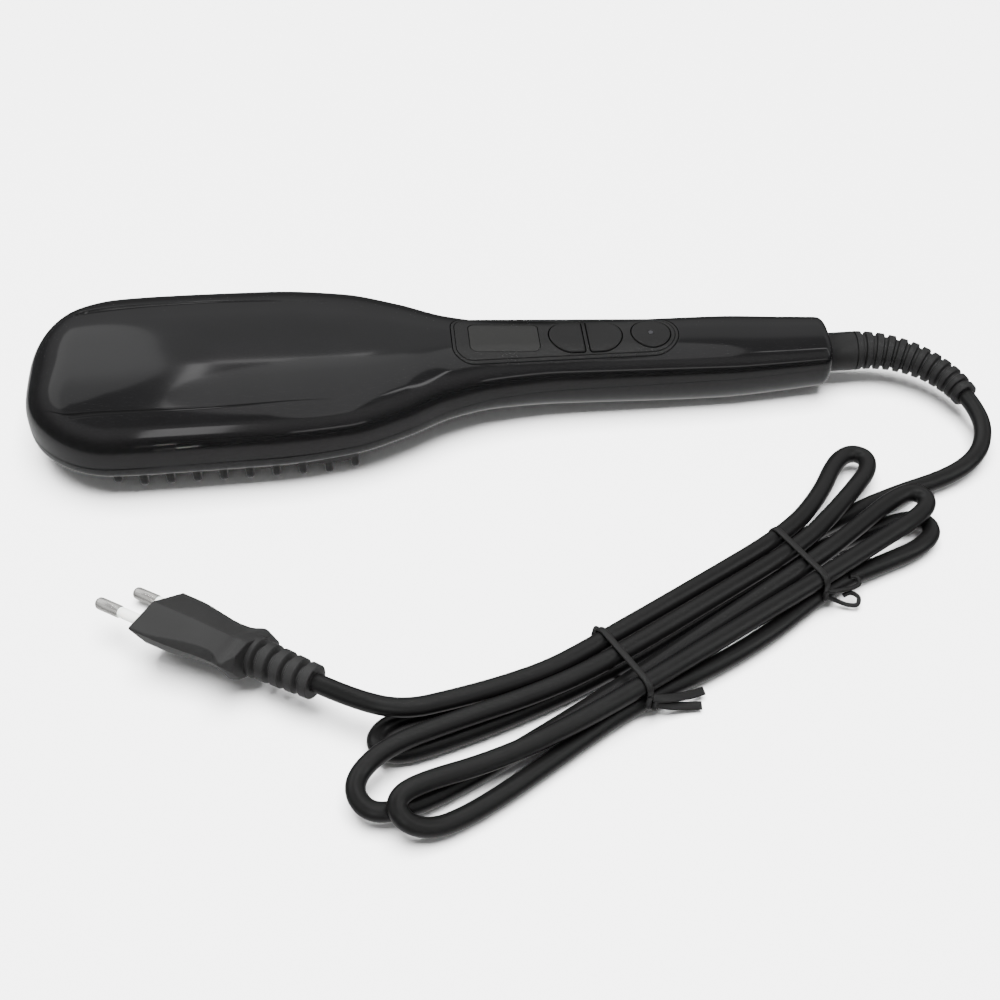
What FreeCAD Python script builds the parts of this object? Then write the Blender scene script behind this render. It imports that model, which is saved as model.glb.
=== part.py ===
"""Heated straightening brush with a swivel mains lead, lying on its bristles.

The frame has +X along the handle towards the cord, +Y across and +Z up. The floor is z = 0.
"""
import FreeCAD, Part
import math
import os

Vector = FreeCAD.Vector
doc = FreeCAD.newDocument("straightening_brush")

# Driving dimensions in millimetres, degrees or counts
SIZES = {
    # Casing: one cross-section after another, each a span on from the last
    "tip_half_width": 36.0, "tip_top": 35.4, "tip_bottom": 8.0,
    "face_span": 42.0, "face_half_width": 38.2, "face_top": 36.5, "face_bottom": 7.2,
    "heel_span": 42.0, "heel_half_width": 37.8, "heel_top": 35.6, "heel_bottom": 6.9,
    "shoulder_span": 27.0, "shoulder_half_width": 35.0, "shoulder_top": 34.2, "shoulder_bottom": 6.6,
    "flank_span": 19.0, "flank_half_width": 28.2, "flank_top": 32.8, "flank_bottom": 6.0,
    "throat_span": 16.0, "throat_half_width": 20.1, "throat_top": 31.4, "throat_bottom": 5.2,
    "neck_span": 17.0, "neck_half_width": 15.5, "neck_top": 30.2, "neck_bottom": 4.2,
    "waist_span": 23.0, "waist_half_width": 13.6, "waist_top": 28.8, "waist_bottom": 2.6,
    "grip_span": 58.0, "grip_half_width": 14.0, "grip_top": 26.3, "grip_bottom": 0.0,
    "taper_span": 21.0, "taper_half_width": 12.8, "taper_top": 24.8, "taper_bottom": 0.6,
    "end_span": 17.0, "end_half_width": 11.6, "end_top": 23.8, "end_bottom": 1.7,
    "seam_height": 15.2, "wall": 2.4, "parting_gap": 0.05,
    "head_upper_power": 3.2, "handle_upper_power": 2.7,
    "head_lower_power": 3.6, "handle_lower_power": 2.3,
    "tip_corner": 31.0, "tip_slope": 18.0, "tip_edge": 2.2, "tip_under": 6.0, "tail_round": 3.0,
    "groove_width": 0.8, "groove_depth": 0.5, "groove_inset": 9.4,
    # Control panel, window and buttons
    "panel_start": 147.3, "panel_left_half_width": 11.8, "panel_left_corner": 6.5,
    "panel_end_radius": 9.8, "panel_thickness": 1.5, "panel_gap": 0.15, "panel_ledge": 1.2,
    "panel_seat_gap": 0.05,
    "window_start": 153.4, "window_length": 24.3, "window_half_width": 7.1, "window_corner": 2.4,
    "window_thickness": 0.8, "window_sink": 0.15, "window_ledge": 1.2,
    "rocker_start": 181.3, "rocker_length": 25.8, "rocker_radius": 7.8, "rocker_bar": 1.8,
    "rocker_corner": 0.8, "power_station": 217.4, "power_radius": 6.9,
    "button_gap": 0.3, "button_proud": 0.2, "button_lip": 0.6, "button_flange": 0.8,
    "button_rest_gap": 0.25, "button_travel": 0.5,
    "lens_radius": 0.9, "lens_depth": 2.0, "press_gap": 0.02,
    # Circuit board and what it carries
    "board_start": 150.0, "board_length": 84.0, "board_width": 18.0, "board_thickness": 1.6,
    "switch_side": 6.0, "switch_height": 3.4, "plunger_radius": 1.6, "plunger_show": 0.8,
    "plunger_depth": 1.0, "switch_bore_depth": 2.0,
    "display_length": 22.0, "display_width": 12.0, "display_height": 6.2,
    "lamp_radius": 1.5, "lamp_height": 2.5, "lamp_offset": 5.8,
    "chip_length": 9.0, "chip_width": 6.0, "chip_height": 1.5, "chip_station": 173.5,
    "triac_length": 8.0, "triac_width": 3.2, "triac_height": 9.0, "triac_station": 161.0,
    "capacitor_length": 18.0, "capacitor_width": 8.0, "capacitor_height": 9.5, "capacitor_station": 197.0,
    "varistor_radius": 3.5, "varistor_thickness": 3.6, "varistor_station": 214.0,
    "terminal_length": 4.0, "terminal_width": 13.0, "terminal_height": 3.4,
    "board_post_front": 181.5, "board_post_rear": 225.0, "board_post_radius": 2.8,
    # Screws
    "case_screw_front": 127.0, "case_screw_rear": 246.0, "case_post_radius": 4.2,
    "case_screw_radius": 1.3, "case_screw_head": 2.6, "case_screw_head_height": 1.6,
    "case_screw_bite": 8.0, "case_screw_seat": 4.5, "screw_gap": 0.05,
    "small_screw_radius": 0.8, "small_screw_head": 1.3, "small_screw_head_height": 1.1,
    "small_screw_bite": 1.7, "board_screw_bite": 6.0,
    # Brush field
    "bristle_columns": 10, "bristle_pitch": 9.0, "bristle_first": 30.0, "bristle_margin": 6.0,
    "opening_half_width": 32.0, "opening_corner": 13.0, "frame_gap": 0.2, "frame_ring": 3.0,
    "frame_lip": 1.6, "frame_bottom": 5.2, "rim_width": 2.8, "rim_top": 12.4, "flange_thickness": 1.6,
    "post_length": 2.8, "post_width": 2.6, "post_inset": 0.8, "end_posts": 3,
    "plate_seat": 7.4, "plate_thickness": 2.0, "plate_gap": 0.3,
    "tooth_rows": 5, "tooth_row_pitch": 11.0, "tooth_length": 4.2, "tooth_width": 1.8,
    "tooth_end": 3.0, "tip_end": 0.4,
    "heater_length": 30.0, "heater_width": 14.0, "heater_height": 2.2, "heater_spacing": 34.0,
    "sheet_thickness": 0.5, "clamp_width": 16.0, "clamp_thickness": 1.2,
    "sensor_radius": 1.2, "sensor_length": 6.0, "sensor_side": 12.0,
    "fuse_radius": 2.0, "fuse_length": 10.0, "fuse_side": 12.0, "rest_gap": 0.05,
    "lead_radius": 0.9, "sensor_lead_radius": 0.5,
    # Swivel and strain relief
    "barrel_out": 10.5, "barrel_radius": 7.0, "barrel_gap": 0.06, "barrel_flange_radius": 8.0,
    "barrel_flange_width": 2.4, "barrel_end_play": 0.1, "shank_radius": 4.5, "shank_length": 13.0,
    "ring_thickness": 0.8, "ring_width": 2.6, "ring_spacing": 5.0, "contact_width": 2.0,
    "contact_depth": 4.0, "contact_gap": 0.1, "contact_block_length": 8.0, "contact_block_height": 1.0,
    "contact_block_width": 5.0, "pedestal_height": 4.8, "mains_wire_radius": 0.8,
    "relief_radius": 36.0, "relief_turn": 72.0, "relief_tilt": 6.0, "relief_ribs": 12,
    "relief_end_radius": 4.6, "rib_depth": 1.0,
    # Cord, hank and ties
    "cord_diameter": 6.0, "hank_angle": 30.0, "hank_x": 59.2, "hank_y": -123.6,
    "hank_left_reach": 88.0, "hank_right_reach": 86.0, "hank_runs": 7, "hank_step": 6.8,
    "hank_draw": 4.2, "hank_layer": 6.6, "tie_left": -18.7, "tie_right": 52.8,
    "tie_width": 2.6, "tie_thickness": 1.0, "tie_gap": 0.3, "tie_wire": 1.1,
    # Plug
    "plug_x": -96.3, "plug_y": -99.2, "plug_z": 9.9, "plug_yaw": -35.5, "plug_pitch": 4.0,
    "plug_roll": -33.5, "plug_half_width": 17.65, "plug_half_height": 6.85, "plug_flat": 7.3,
    "plug_front": 8.0, "plug_waist": 24.0, "plug_waist_half_width": 12.8, "plug_grip": 32.0,
    "plug_grip_half_width": 14.2, "plug_rear": 35.5, "plug_rear_half_width": 10.5,
    "plug_rear_half_height": 5.6, "plug_relief_length": 21.5, "plug_relief_radius": 5.6,
    "plug_relief_end": 4.2, "plug_relief_ribs": 4,
    "pin_radius": 2.0, "pin_spacing": 18.0, "pin_length": 19.0, "pin_bare": 9.0, "pin_core": 1.4,
    "pin_root": 8.0, "sleeve_radius": 1.75,
}

dims = doc.addObject("Spreadsheet::Sheet", "dims")
for row, (alias, number) in enumerate(SIZES.items(), start=1):
    dims.set("A%d" % row, alias)
    dims.set("B%d" % row, str(number))
    dims.setAlias("B%d" % row, alias)
doc.recompute()


def size(alias):
    return float(dims.get(alias))


# Places worked out from the driving dimensions, kept in a sheet of their own for the expressions
places = doc.addObject("Spreadsheet::Sheet", "places")
place_values = {}


def place(alias, value):
    row = len(place_values) + 1
    places.set("A%d" % row, alias)
    places.set("B%d" % row, "%.6f" % value)
    places.setAlias("B%d" % row, alias)
    place_values[alias] = value
    doc.recompute([places])
    return value


# Nodes that are written out, by name
nodes = {}


def keep(item, name):
    item.Label = name
    nodes[name] = item
    return item


def feature(name, shape):
    item = doc.addObject("Part::Feature", name)
    item.Shape = shape
    return keep(item, name)


def bind(item, **expressions):
    for prop, text in expressions.items():
        item.setExpression(prop.replace("__", "."), text)


def block(name, length, width, height, x, y, z):
    """Box bound to expressions, centred on x and y and standing on z."""
    item = doc.addObject("Part::Box", name)
    bind(item, Length=length, Width=width, Height=height)
    bind(item, Placement__Base__x="%s - (%s) / 2" % (x, length))
    bind(item, Placement__Base__y="%s - (%s) / 2" % (y, width))
    bind(item, Placement__Base__z=z)
    return item


def rod(name, radius, length, x, y, z, along="Z"):
    """Cylinder bound to expressions, starting at the given point and running along +X, +Y or +Z."""
    item = doc.addObject("Part::Cylinder", name)
    turn = {"X": (Vector(0, 1, 0), 90), "Y": (Vector(1, 0, 0), -90), "Z": (Vector(0, 0, 1), 0)}[along]
    item.Placement = FreeCAD.Placement(Vector(), FreeCAD.Rotation(*turn))
    bind(item, Radius=radius, Height=length)
    bind(item, Placement__Base__x=x, Placement__Base__y=y, Placement__Base__z=z)
    return item


def fuse(name, items):
    item = doc.addObject("Part::MultiFuse", name)
    item.Shapes = items
    return item


def cut(name, base, tool):
    item = doc.addObject("Part::Cut", name)
    item.Base = base
    item.Tool = tool
    return item


def group(name, items):
    item = doc.addObject("Part::Compound", name)
    item.Links = items
    return keep(item, name)


def belt(discs, grow=0.0, z=0.0):
    """Outline of a taut belt round discs (x, y, radius), given anticlockwise."""
    rounds = [(Vector(x, y, z), radius + grow) for x, y, radius in discs]
    normals = []
    for index, (centre, radius) in enumerate(rounds):
        other, other_radius = rounds[(index + 1) % len(rounds)]
        along = other - centre
        lean = (radius - other_radius) / along.Length
        along.normalize()
        side = Vector(along.y, -along.x, 0)
        normals.append(along * lean + side * math.sqrt(1 - lean * lean))
    edges = []
    for index, (centre, radius) in enumerate(rounds):
        start = normals[index - 1]
        stop = normals[index]
        turn = math.atan2(start.x * stop.y - start.y * stop.x, start.x * stop.x + start.y * stop.y)
        if turn <= 0:
            turn += 2 * math.pi
        middle = FreeCAD.Rotation(Vector(0, 0, 1), math.degrees(turn / 2)).multVec(start)
        edges.append(Part.Arc(centre + start * radius, centre + middle * radius,
                              centre + stop * radius).toShape())
        other, other_radius = rounds[(index + 1) % len(rounds)]
        edges.append(Part.LineSegment(centre + stop * radius, other + stop * other_radius).toShape())
    return Part.Wire(edges)


def prism(discs, low, high, grow=0.0):
    return Part.Face(belt(discs, grow, low)).extrude(Vector(0, 0, high - low))


# Casing cross-sections: smooth curves through the named sections
SECTIONS = ["tip", "face", "heel", "shoulder", "flank", "throat", "neck", "waist", "grip", "taper", "end"]
seam = size("seam_height")
wall = size("wall")
stations = [0.0]
for section in SECTIONS[1:]:
    stations.append(stations[-1] + size(section + "_span"))
housing_length = stations[-1]
tip_x = place("tip_x", -(housing_length + size("barrel_out")) / 2)
end_x = place("end_x", tip_x + housing_length)
HIGH = 4 * size("face_top")


def smooth(values, station):
    """Monotone cubic curve through one value for each section."""
    spans = [b - a for a, b in zip(stations, stations[1:])]
    rises = [(b - a) / span for a, b, span in zip(values, values[1:], spans)]
    slopes = [rises[0]]
    for before, after, first, second in zip(rises, rises[1:], spans, spans[1:]):
        if before * after <= 0:
            slopes.append(0.0)
        else:
            one, two = 2 * second + first, second + 2 * first
            slopes.append((one + two) / (one / before + two / after))
    slopes.append(rises[-1])
    index = 0
    while index < len(spans) - 1 and station > stations[index + 1]:
        index += 1
    part = (station - stations[index]) / spans[index]
    rest = 1 - part
    return (values[index] * (1 + 2 * part) * rest ** 2 + values[index + 1] * part ** 2 * (3 - 2 * part)
            + spans[index] * part * rest * (slopes[index] * rest - slopes[index + 1] * part))


def rounding(distance, reach, drop, inset):
    """Height lost at a distance from a rounded end, on a quarter ellipse drawn in by the inset."""
    if distance >= reach:
        return 0.0
    part = min(1.0, (reach - distance) / (reach - inset))
    return (drop - inset) * (1 - math.sqrt(1 - part * part))


def blend_power(station, head, handle):
    first = stations[SECTIONS.index("heel")]
    last = stations[SECTIONS.index("neck")]
    part = min(1.0, max(0.0, (station - first) / (last - first)))
    return head + (handle - head) * part * part * (3 - 2 * part)


def profile(station, inset=0.0):
    """Half width, crown height and underside height of the casing at a station from the tip."""
    half = smooth([size(name + "_half_width") for name in SECTIONS], station)
    top = smooth([size(name + "_top") for name in SECTIONS], station)
    bottom = smooth([size(name + "_bottom") for name in SECTIONS], station)
    tail = rounding(housing_length - station, size("tail_round"), size("tail_round"), inset)
    half -= rounding(station, size("tip_corner"), size("tip_corner"), inset) + tail
    top -= rounding(station, size("tip_slope"), size("tip_top") - seam - size("tip_edge"), inset) + tail
    under = seam - size("tip_bottom") - size("tip_edge") / 2
    bottom += rounding(station, size("tip_under"), under, inset) + tail
    return half - inset, top - inset, bottom + inset


def half_section(station, inset, upper):
    """Closed half outline above or below the seam, a rounded-square curve and the seam line."""
    half, top, bottom = profile(station, inset)
    if upper:
        height = top - seam
        power = blend_power(station, size("head_upper_power"), size("handle_upper_power"))
    else:
        height = bottom - seam
        power = blend_power(station, size("head_lower_power"), size("handle_lower_power"))
    count = 16
    points = []
    for index in range(count + 1):
        angle = math.pi * index / count
        across = math.copysign(abs(math.cos(angle)) ** (2 / power), math.cos(angle))
        up = abs(math.sin(angle)) ** (2 / power)
        points.append(Vector(tip_x + station, half * across, seam + height * up))
    points[0] = Vector(tip_x + station, half, seam)
    points[-1] = Vector(tip_x + station, -half, seam)
    curve = Part.BSplineCurve()
    curve.interpolate(points)
    return Part.Wire([curve.toShape(), Part.LineSegment(points[-1], points[0]).toShape()])


def half_shell(inset, upper):
    """Solid filling one half of the casing, drawn in by the inset."""
    corner = size("tip_corner")
    tail = size("tail_round")
    cuts = [corner - (corner - inset) * math.cos(math.radians(angle)) for angle in (0, 16, 30, 44, 58, 74)]
    steps = 20
    body_end = housing_length - tail
    cuts += [corner + (body_end - corner) * index / steps for index in range(steps + 1)]
    cuts += [body_end + (tail - inset) * math.sin(math.radians(angle)) for angle in (35, 65, 90)]
    return Part.makeLoft([half_section(station, inset, upper) for station in cuts], True, False)


top_outer = half_shell(0.0, True)
top_inner = half_shell(wall, True)
bottom_outer = half_shell(0.0, False)
bottom_inner = half_shell(wall, False)


def sunk(depth):
    """The cover's upper form moved straight down."""
    return top_outer.translated(Vector(0, 0, -depth))


def crown(station, side):
    """Height of the cover's outside over a point."""
    half, top, _ = profile(station)
    power = blend_power(station, size("head_upper_power"), size("handle_upper_power"))
    return seam + (top - seam) * (1 - (abs(side) / half) ** power) ** (1 / power)


# Outlines on the control panel
power_x = place("power_x", tip_x + size("power_station"))
panel_left = tip_x + size("panel_start")
left_corner = size("panel_left_corner")
left_side = size("panel_left_half_width") - left_corner
panel_discs = [(panel_left + left_corner, left_side, left_corner),
               (panel_left + left_corner, -left_side, left_corner),
               (power_x, 0.0, size("panel_end_radius"))]

window_left = tip_x + size("window_start")
window_right = window_left + size("window_length")
window_corner = size("window_corner")
window_side = size("window_half_width") - window_corner
window_discs = [(window_left + window_corner, window_side, window_corner),
                (window_left + window_corner, -window_side, window_corner),
                (window_right - window_corner, -window_side, window_corner),
                (window_right - window_corner, window_side, window_corner)]

rocker_left = tip_x + size("rocker_start")
rocker_right = rocker_left + size("rocker_length")
rocker_middle = (rocker_left + rocker_right) / 2
rocker_radius = size("rocker_radius")
rocker_corner = size("rocker_corner")
rocker_side = rocker_radius - rocker_corner
rocker_edge = size("rocker_bar") / 2 + rocker_corner
minus_discs = [(rocker_left + rocker_radius, 0.0, rocker_radius),
               (rocker_middle - rocker_edge, -rocker_side, rocker_corner),
               (rocker_middle - rocker_edge, rocker_side, rocker_corner)]
plus_discs = [(rocker_right - rocker_radius, 0.0, rocker_radius),
              (rocker_middle + rocker_edge, rocker_side, rocker_corner),
              (rocker_middle + rocker_edge, -rocker_side, rocker_corner)]


def power_prism(low, high, grow=0.0):
    return Part.makeCylinder(size("power_radius") + grow, high - low, Vector(power_x, 0, low))


# Heights of the button stack, from the panel's underside down to the board
flange_reach = size("power_radius") + size("button_lip")
panel_under = crown(size("power_station") + flange_reach, flange_reach) - size("panel_thickness")
flange_top = panel_under - size("button_rest_gap")
flange_low = place("flange_low", flange_top - size("button_flange"))
switch_top = place("switch_top", flange_low - size("plunger_show"))
board_top = place("board_top", switch_top - size("switch_height"))
board_low = place("board_low", board_top - size("board_thickness"))

# Control panel inlay, flush with the crowned handle
panel = prism(panel_discs, seam, HIGH).common(top_outer).cut(sunk(size("panel_thickness")))
window_floor = size("window_sink") + size("window_thickness") + size("panel_seat_gap")
panel = panel.cut(prism(window_discs, seam, HIGH, size("panel_gap")).cut(sunk(window_floor)))
panel = panel.cut(prism(window_discs, seam, HIGH, -size("window_ledge")))
for discs in (minus_discs, plus_discs):
    panel = panel.cut(prism(discs, seam, HIGH, size("button_gap")))
panel = panel.cut(power_prism(seam, HIGH, size("button_gap")))
feature("control_panel", panel)

# Display window in its recess
window = prism(window_discs, seam, HIGH).common(sunk(size("window_sink")))
feature("display_window", window.cut(sunk(size("window_sink") + size("window_thickness"))))


# Push buttons: a crowned cap over a flange that keeps it under the panel
def button(shape_of):
    cap = shape_of(flange_low, HIGH, 0.0).common(sunk(-size("button_proud")))
    return cap.fuse(shape_of(flange_low, flange_top, size("button_lip"))).removeSplitter()


feature("minus_button", button(lambda low, high, grow: prism(minus_discs, low, high, grow)))
feature("plus_button", button(lambda low, high, grow: prism(plus_discs, low, high, grow)))
lens_top = crown(size("power_station"), 0.0) + size("button_proud")
lens_low = lens_top - size("lens_depth")
lens_bore = Part.makeCylinder(size("lens_radius") + size("press_gap"), HIGH, Vector(power_x, 0, lens_low))
feature("power_button", button(power_prism).cut(lens_bore))
lens = Part.makeCylinder(size("lens_radius"), HIGH, Vector(power_x, 0, lens_low))
feature("power_lens", lens.common(sunk(-size("button_proud"))))

# Top cover: shell, panel seat, groove lines and the two screw posts
case_screws = [tip_x + size("case_screw_front"), tip_x + size("case_screw_rear")]
pocket_depth = size("panel_thickness") + size("panel_seat_gap")
cover = top_outer.cut(top_inner)
for post_x in case_screws:
    post = Part.makeCylinder(size("case_post_radius"), HIGH, Vector(post_x, 0, seam)).common(top_outer)
    hole = Part.makeCylinder(size("case_screw_radius") + size("screw_gap"), size("case_screw_bite"),
                             Vector(post_x, 0, seam))
    cover = cover.fuse(post).cut(hole)
cover = cover.cut(prism(panel_discs, seam, HIGH, size("panel_gap")).cut(sunk(pocket_depth)))
cover = cover.cut(prism(panel_discs, seam + wall, HIGH, -size("panel_ledge")))
groove_side = size("face_half_width") - size("groove_inset")
groove_line = [(0.21 * size("face_span"), groove_side - 7.0), (0.5 * size("face_span"), groove_side - 1.2),
               (1.4 * size("face_span"), groove_side), (2.5 * size("face_span"), groove_side - 2.0)]
above_groove = sunk(size("groove_depth"))
for side in (-1, 1):
    for (first, first_side), (last, last_side) in zip(groove_line, groove_line[1:]):
        discs = [(tip_x + first, side * first_side, size("groove_width") / 2),
                 (tip_x + last, side * last_side, size("groove_width") / 2)]
        cover = cover.cut(prism(discs, seam + wall, HIGH).cut(above_groove))
axis_height = place("axis_height", (size("end_top") + size("end_bottom")) / 2)
barrel_hole = Part.makeCylinder(size("barrel_radius") + size("barrel_gap"), 4 * wall,
                                Vector(end_x - 2 * wall, 0, axis_height), Vector(1, 0, 0))
cover = cover.cut(barrel_hole)
parting_side = 2 * size("face_half_width")
parting = Part.makeBox(2 * housing_length, 2 * parting_side, size("parting_gap"),
                       Vector(-housing_length, -parting_side, seam))
feature("top_cover", cover.cut(parting))

# Bottom housing: shell, brush opening with its rim, screw posts, board posts and contact pedestal
field_length = (size("bristle_columns") - 1) * size("bristle_pitch")
field_middle = place("field_middle", tip_x + size("bristle_first") + field_length / 2)
opening_half = place("opening_half", field_length / 2 + size("bristle_margin"))
opening_corner = size("opening_corner")
opening_x = opening_half - opening_corner
opening_y = size("opening_half_width") - opening_corner
opening_discs = [(field_middle + x * opening_x, y * opening_y, opening_corner)
                 for x, y in ((-1, 1), (-1, -1), (1, -1), (1, 1))]
rim_top = size("rim_top")
rim = prism(opening_discs, 0.0, rim_top, size("rim_width")).common(bottom_outer)
housing = bottom_outer.cut(bottom_inner).fuse(rim).cut(prism(opening_discs, 0.0, HIGH))
housing = housing.cut(prism(opening_discs, rim_top, HIGH, size("rim_width")))
for post_x in case_screws:
    post = Part.makeCylinder(size("case_post_radius"), seam, Vector(post_x, 0, 0)).common(bottom_outer)
    hole = Part.makeCylinder(size("case_screw_radius") + size("screw_gap"), seam, Vector(post_x, 0, 0))
    head_seat = seam - size("case_screw_seat")
    head_hole = Part.makeCylinder(size("case_screw_head") + 4 * size("screw_gap"), head_seat,
                                  Vector(post_x, 0, 0))
    housing = housing.fuse(post).cut(hole).cut(head_hole)
board_posts = [tip_x + size("board_post_front"), tip_x + size("board_post_rear")]
for post_x in board_posts:
    foot = profile(post_x - tip_x)[2] + wall / 2
    post = Part.makeCylinder(size("board_post_radius"), board_low - foot, Vector(post_x, 0, foot))
    hole = Part.makeCylinder(size("small_screw_radius") + size("screw_gap"), size("board_screw_bite"),
                             Vector(post_x, 0, board_low - size("board_screw_bite")))
    housing = housing.fuse(post).cut(hole)
flange_face = end_x - wall - size("barrel_end_play")
shank_end = flange_face - size("barrel_flange_width") - size("shank_length")
shank_middle = place("shank_middle", shank_end + size("shank_length") / 2)
pedestal_corner = Vector(shank_middle - size("contact_block_length") / 2, -size("contact_block_width") / 2, 0)
pedestal = Part.makeBox(size("contact_block_length"), size("contact_block_width"), size("pedestal_height"),
                        pedestal_corner).common(bottom_outer)
housing = housing.fuse(pedestal).cut(barrel_hole)
flange_top_height = rim_top + size("flange_thickness")
bar_screws = [(field_middle + end * (opening_half + size("rim_width") / 2), 0.0) for end in (-1, 1)]
side_screws = [(field_middle + x * opening_x * 0.8, y * (size("opening_half_width") + size("rim_width") / 2))
               for x in (-1, 1) for y in (-1, 1)]


def screw_holes(points, high):
    radius = size("small_screw_radius") + size("screw_gap")
    low = rim_top - size("small_screw_bite")
    return Part.makeCompound([Part.makeCylinder(radius, high - low, Vector(x, y, low)) for x, y in points])


housing = housing.cut(screw_holes(bar_screws + side_screws, rim_top))
feature("bottom_housing", housing)

# Bristle frame: a ring in the brush opening with a flange inside, and the guard posts under it
frame_grow = -size("frame_gap")
frame_inner = frame_grow - size("frame_ring")
ring = prism(opening_discs, size("frame_bottom"), flange_top_height, frame_grow)
ring = ring.fuse(prism(opening_discs, rim_top, flange_top_height, size("rim_width") - size("frame_gap")))
ring = ring.cut(prism(opening_discs, size("plate_seat"), flange_top_height, frame_inner))
ring = ring.cut(prism(opening_discs, 0.0, HIGH, frame_inner - size("frame_lip")))
ring = ring.cut(screw_holes(bar_screws + side_screws, flange_top_height))
guard_side = size("opening_half_width") - size("frame_gap") - size("post_inset") - size("post_width") / 2
guard_end = opening_half - size("frame_gap") - size("post_inset") - size("post_width") / 2
post_spots = []
for column in range(int(size("bristle_columns"))):
    offset = column * size("bristle_pitch") - field_length / 2
    inside = max(0.0, abs(offset) - opening_x)
    side = guard_side - opening_corner + math.sqrt(max(0.0, opening_corner ** 2 - inside ** 2))
    post_spots += [(offset, side, 0), (offset, -side, 0)]
for index in range(int(size("end_posts"))):
    across = (index - (size("end_posts") - 1) / 2) * size("tooth_row_pitch")
    post_spots += [(guard_end, across, 90), (-guard_end, across, 90)]
posts = []
for along, across, turn in post_spots:
    post = Part.makeBox(size("post_length"), size("post_width"), size("frame_bottom"),
                        Vector(-size("post_length") / 2, -size("post_width") / 2, 0))
    spot = Vector(field_middle + along, across, 0)
    post.Placement = FreeCAD.Placement(spot, FreeCAD.Rotation(Vector(0, 0, 1), turn))
    posts.append(post)
feature("bristle_frame", ring)
feature("guard_posts", Part.makeCompound(posts))

# Heating plate resting on the frame's lip, the teeth under it and the cool tips on the teeth
plate_top = place("plate_top", size("plate_seat") + size("plate_thickness"))
plate = prism(opening_discs, size("plate_seat"), plate_top, frame_inner - size("plate_gap"))
tooth_spots = []
for line in range(int(size("tooth_rows"))):
    across = (line - (size("tooth_rows") - 1) / 2) * size("tooth_row_pitch")
    count = int(size("bristle_columns")) - 1
    for column in range(count):
        tooth_spots.append(((column - (count - 1) / 2) * size("bristle_pitch"), across))


def teeth(low, high):
    corner = Vector(field_middle - size("tooth_length") / 2, -size("tooth_width") / 2, low)
    spots = [corner + Vector(along, across, 0) for along, across in tooth_spots]
    return [Part.makeBox(size("tooth_length"), size("tooth_width"), high - low, spot) for spot in spots]


feature("heating_plate", plate)
feature("plate_teeth", Part.makeCompound(teeth(size("tooth_end"), size("plate_seat"))))
feature("bristle_tips", Part.makeCompound(teeth(size("tip_end"), size("tooth_end"))))

# Heater stack on the plate: ceramic heaters, insulation, pad and the clamp bar over it
heaters = [block("ceramic_heater_%d" % index, "dims.heater_length", "dims.heater_width", "dims.heater_height",
                 "places.field_middle + (%d) * dims.heater_spacing / 2" % end, "0", "places.plate_top")
           for index, end in enumerate((-1, 1))]
group("ceramic_heaters", heaters)
stack_length = "dims.heater_spacing + dims.heater_length"
keep(block("insulation_sheet", stack_length, "dims.clamp_width", "dims.sheet_thickness",
           "places.field_middle", "0", "places.plate_top + dims.heater_height"), "insulation_sheet")
sheet_top = place("sheet_top", plate_top + size("heater_height") + size("sheet_thickness"))
clamp_low = place("clamp_low", flange_top_height)
keep(block("pressure_pad", stack_length, "dims.clamp_width", "places.clamp_low - places.sheet_top",
           "places.field_middle", "0", "places.sheet_top"), "pressure_pad")
clamp_length = 2 * (opening_half + size("rim_width") - size("frame_gap"))
clamp = Part.makeBox(clamp_length, size("clamp_width"), size("clamp_thickness"),
                     Vector(field_middle - clamp_length / 2, -size("clamp_width") / 2, clamp_low))
feature("clamp_bar", clamp.cut(screw_holes(bar_screws, clamp_low + size("clamp_thickness"))))


# Screws: a shank under a round head, pointing up or down
def screw(x, y, head_face, shank, radius, head_radius, head_height, down=True):
    way = -1 if down else 1
    body = Part.makeCylinder(radius, shank, Vector(x, y, head_face), Vector(0, 0, way))
    head = Part.makeCylinder(head_radius, head_height, Vector(x, y, head_face), Vector(0, 0, -way))
    return body.fuse(head).removeSplitter()


small = (size("small_screw_radius"), size("small_screw_head"), size("small_screw_head_height"))
bar_top = clamp_low + size("clamp_thickness")
screw_end = rim_top - size("small_screw_bite")
frame_screws = [screw(x, y, bar_top, bar_top - screw_end, *small) for x, y in bar_screws]
flange_shank = flange_top_height - screw_end
frame_screws += [screw(x, y, flange_top_height, flange_shank, *small) for x, y in side_screws]
feature("frame_screws", Part.makeCompound(frame_screws))
case_seat = seam - size("case_screw_seat")
case_shank = size("case_screw_seat") + size("case_screw_bite")
feature("case_screws", Part.makeCompound(
    [screw(x, 0, case_seat, case_shank, size("case_screw_radius"), size("case_screw_head"),
           size("case_screw_head_height"), down=False) for x in case_screws]))
board_shank = size("board_thickness") + size("board_screw_bite")
feature("board_screws", Part.makeCompound([screw(x, 0, board_top, board_shank, *small) for x in board_posts]))

# Temperature sensor and thermal fuse lying on the plate beside the heaters
keep(rod("temperature_sensor", "dims.sensor_radius", "dims.sensor_length", "places.field_middle",
         "dims.sensor_side", "places.plate_top + dims.sensor_radius + dims.rest_gap", "X"),
     "temperature_sensor")
keep(rod("thermal_fuse", "dims.fuse_radius", "dims.fuse_length", "places.field_middle", "-dims.fuse_side",
         "places.plate_top + dims.fuse_radius + dims.rest_gap", "X"), "thermal_fuse")

# Circuit board with its two screw holes
board_middle = place("board_middle", tip_x + size("board_start") + size("board_length") / 2)
board_blank = block("board_blank", "dims.board_length", "dims.board_width", "dims.board_thickness",
                    "places.board_middle", "0", "places.board_low")
board_holes = [rod("board_hole_%d" % index, "dims.small_screw_radius + dims.screw_gap",
                   "dims.board_thickness", "places.tip_x + dims.%s" % alias, "0", "places.board_low")
               for index, alias in enumerate(("board_post_front", "board_post_rear"))]
keep(cut("circuit_board", board_blank, fuse("board_hole_pair", board_holes)), "circuit_board")

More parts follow.
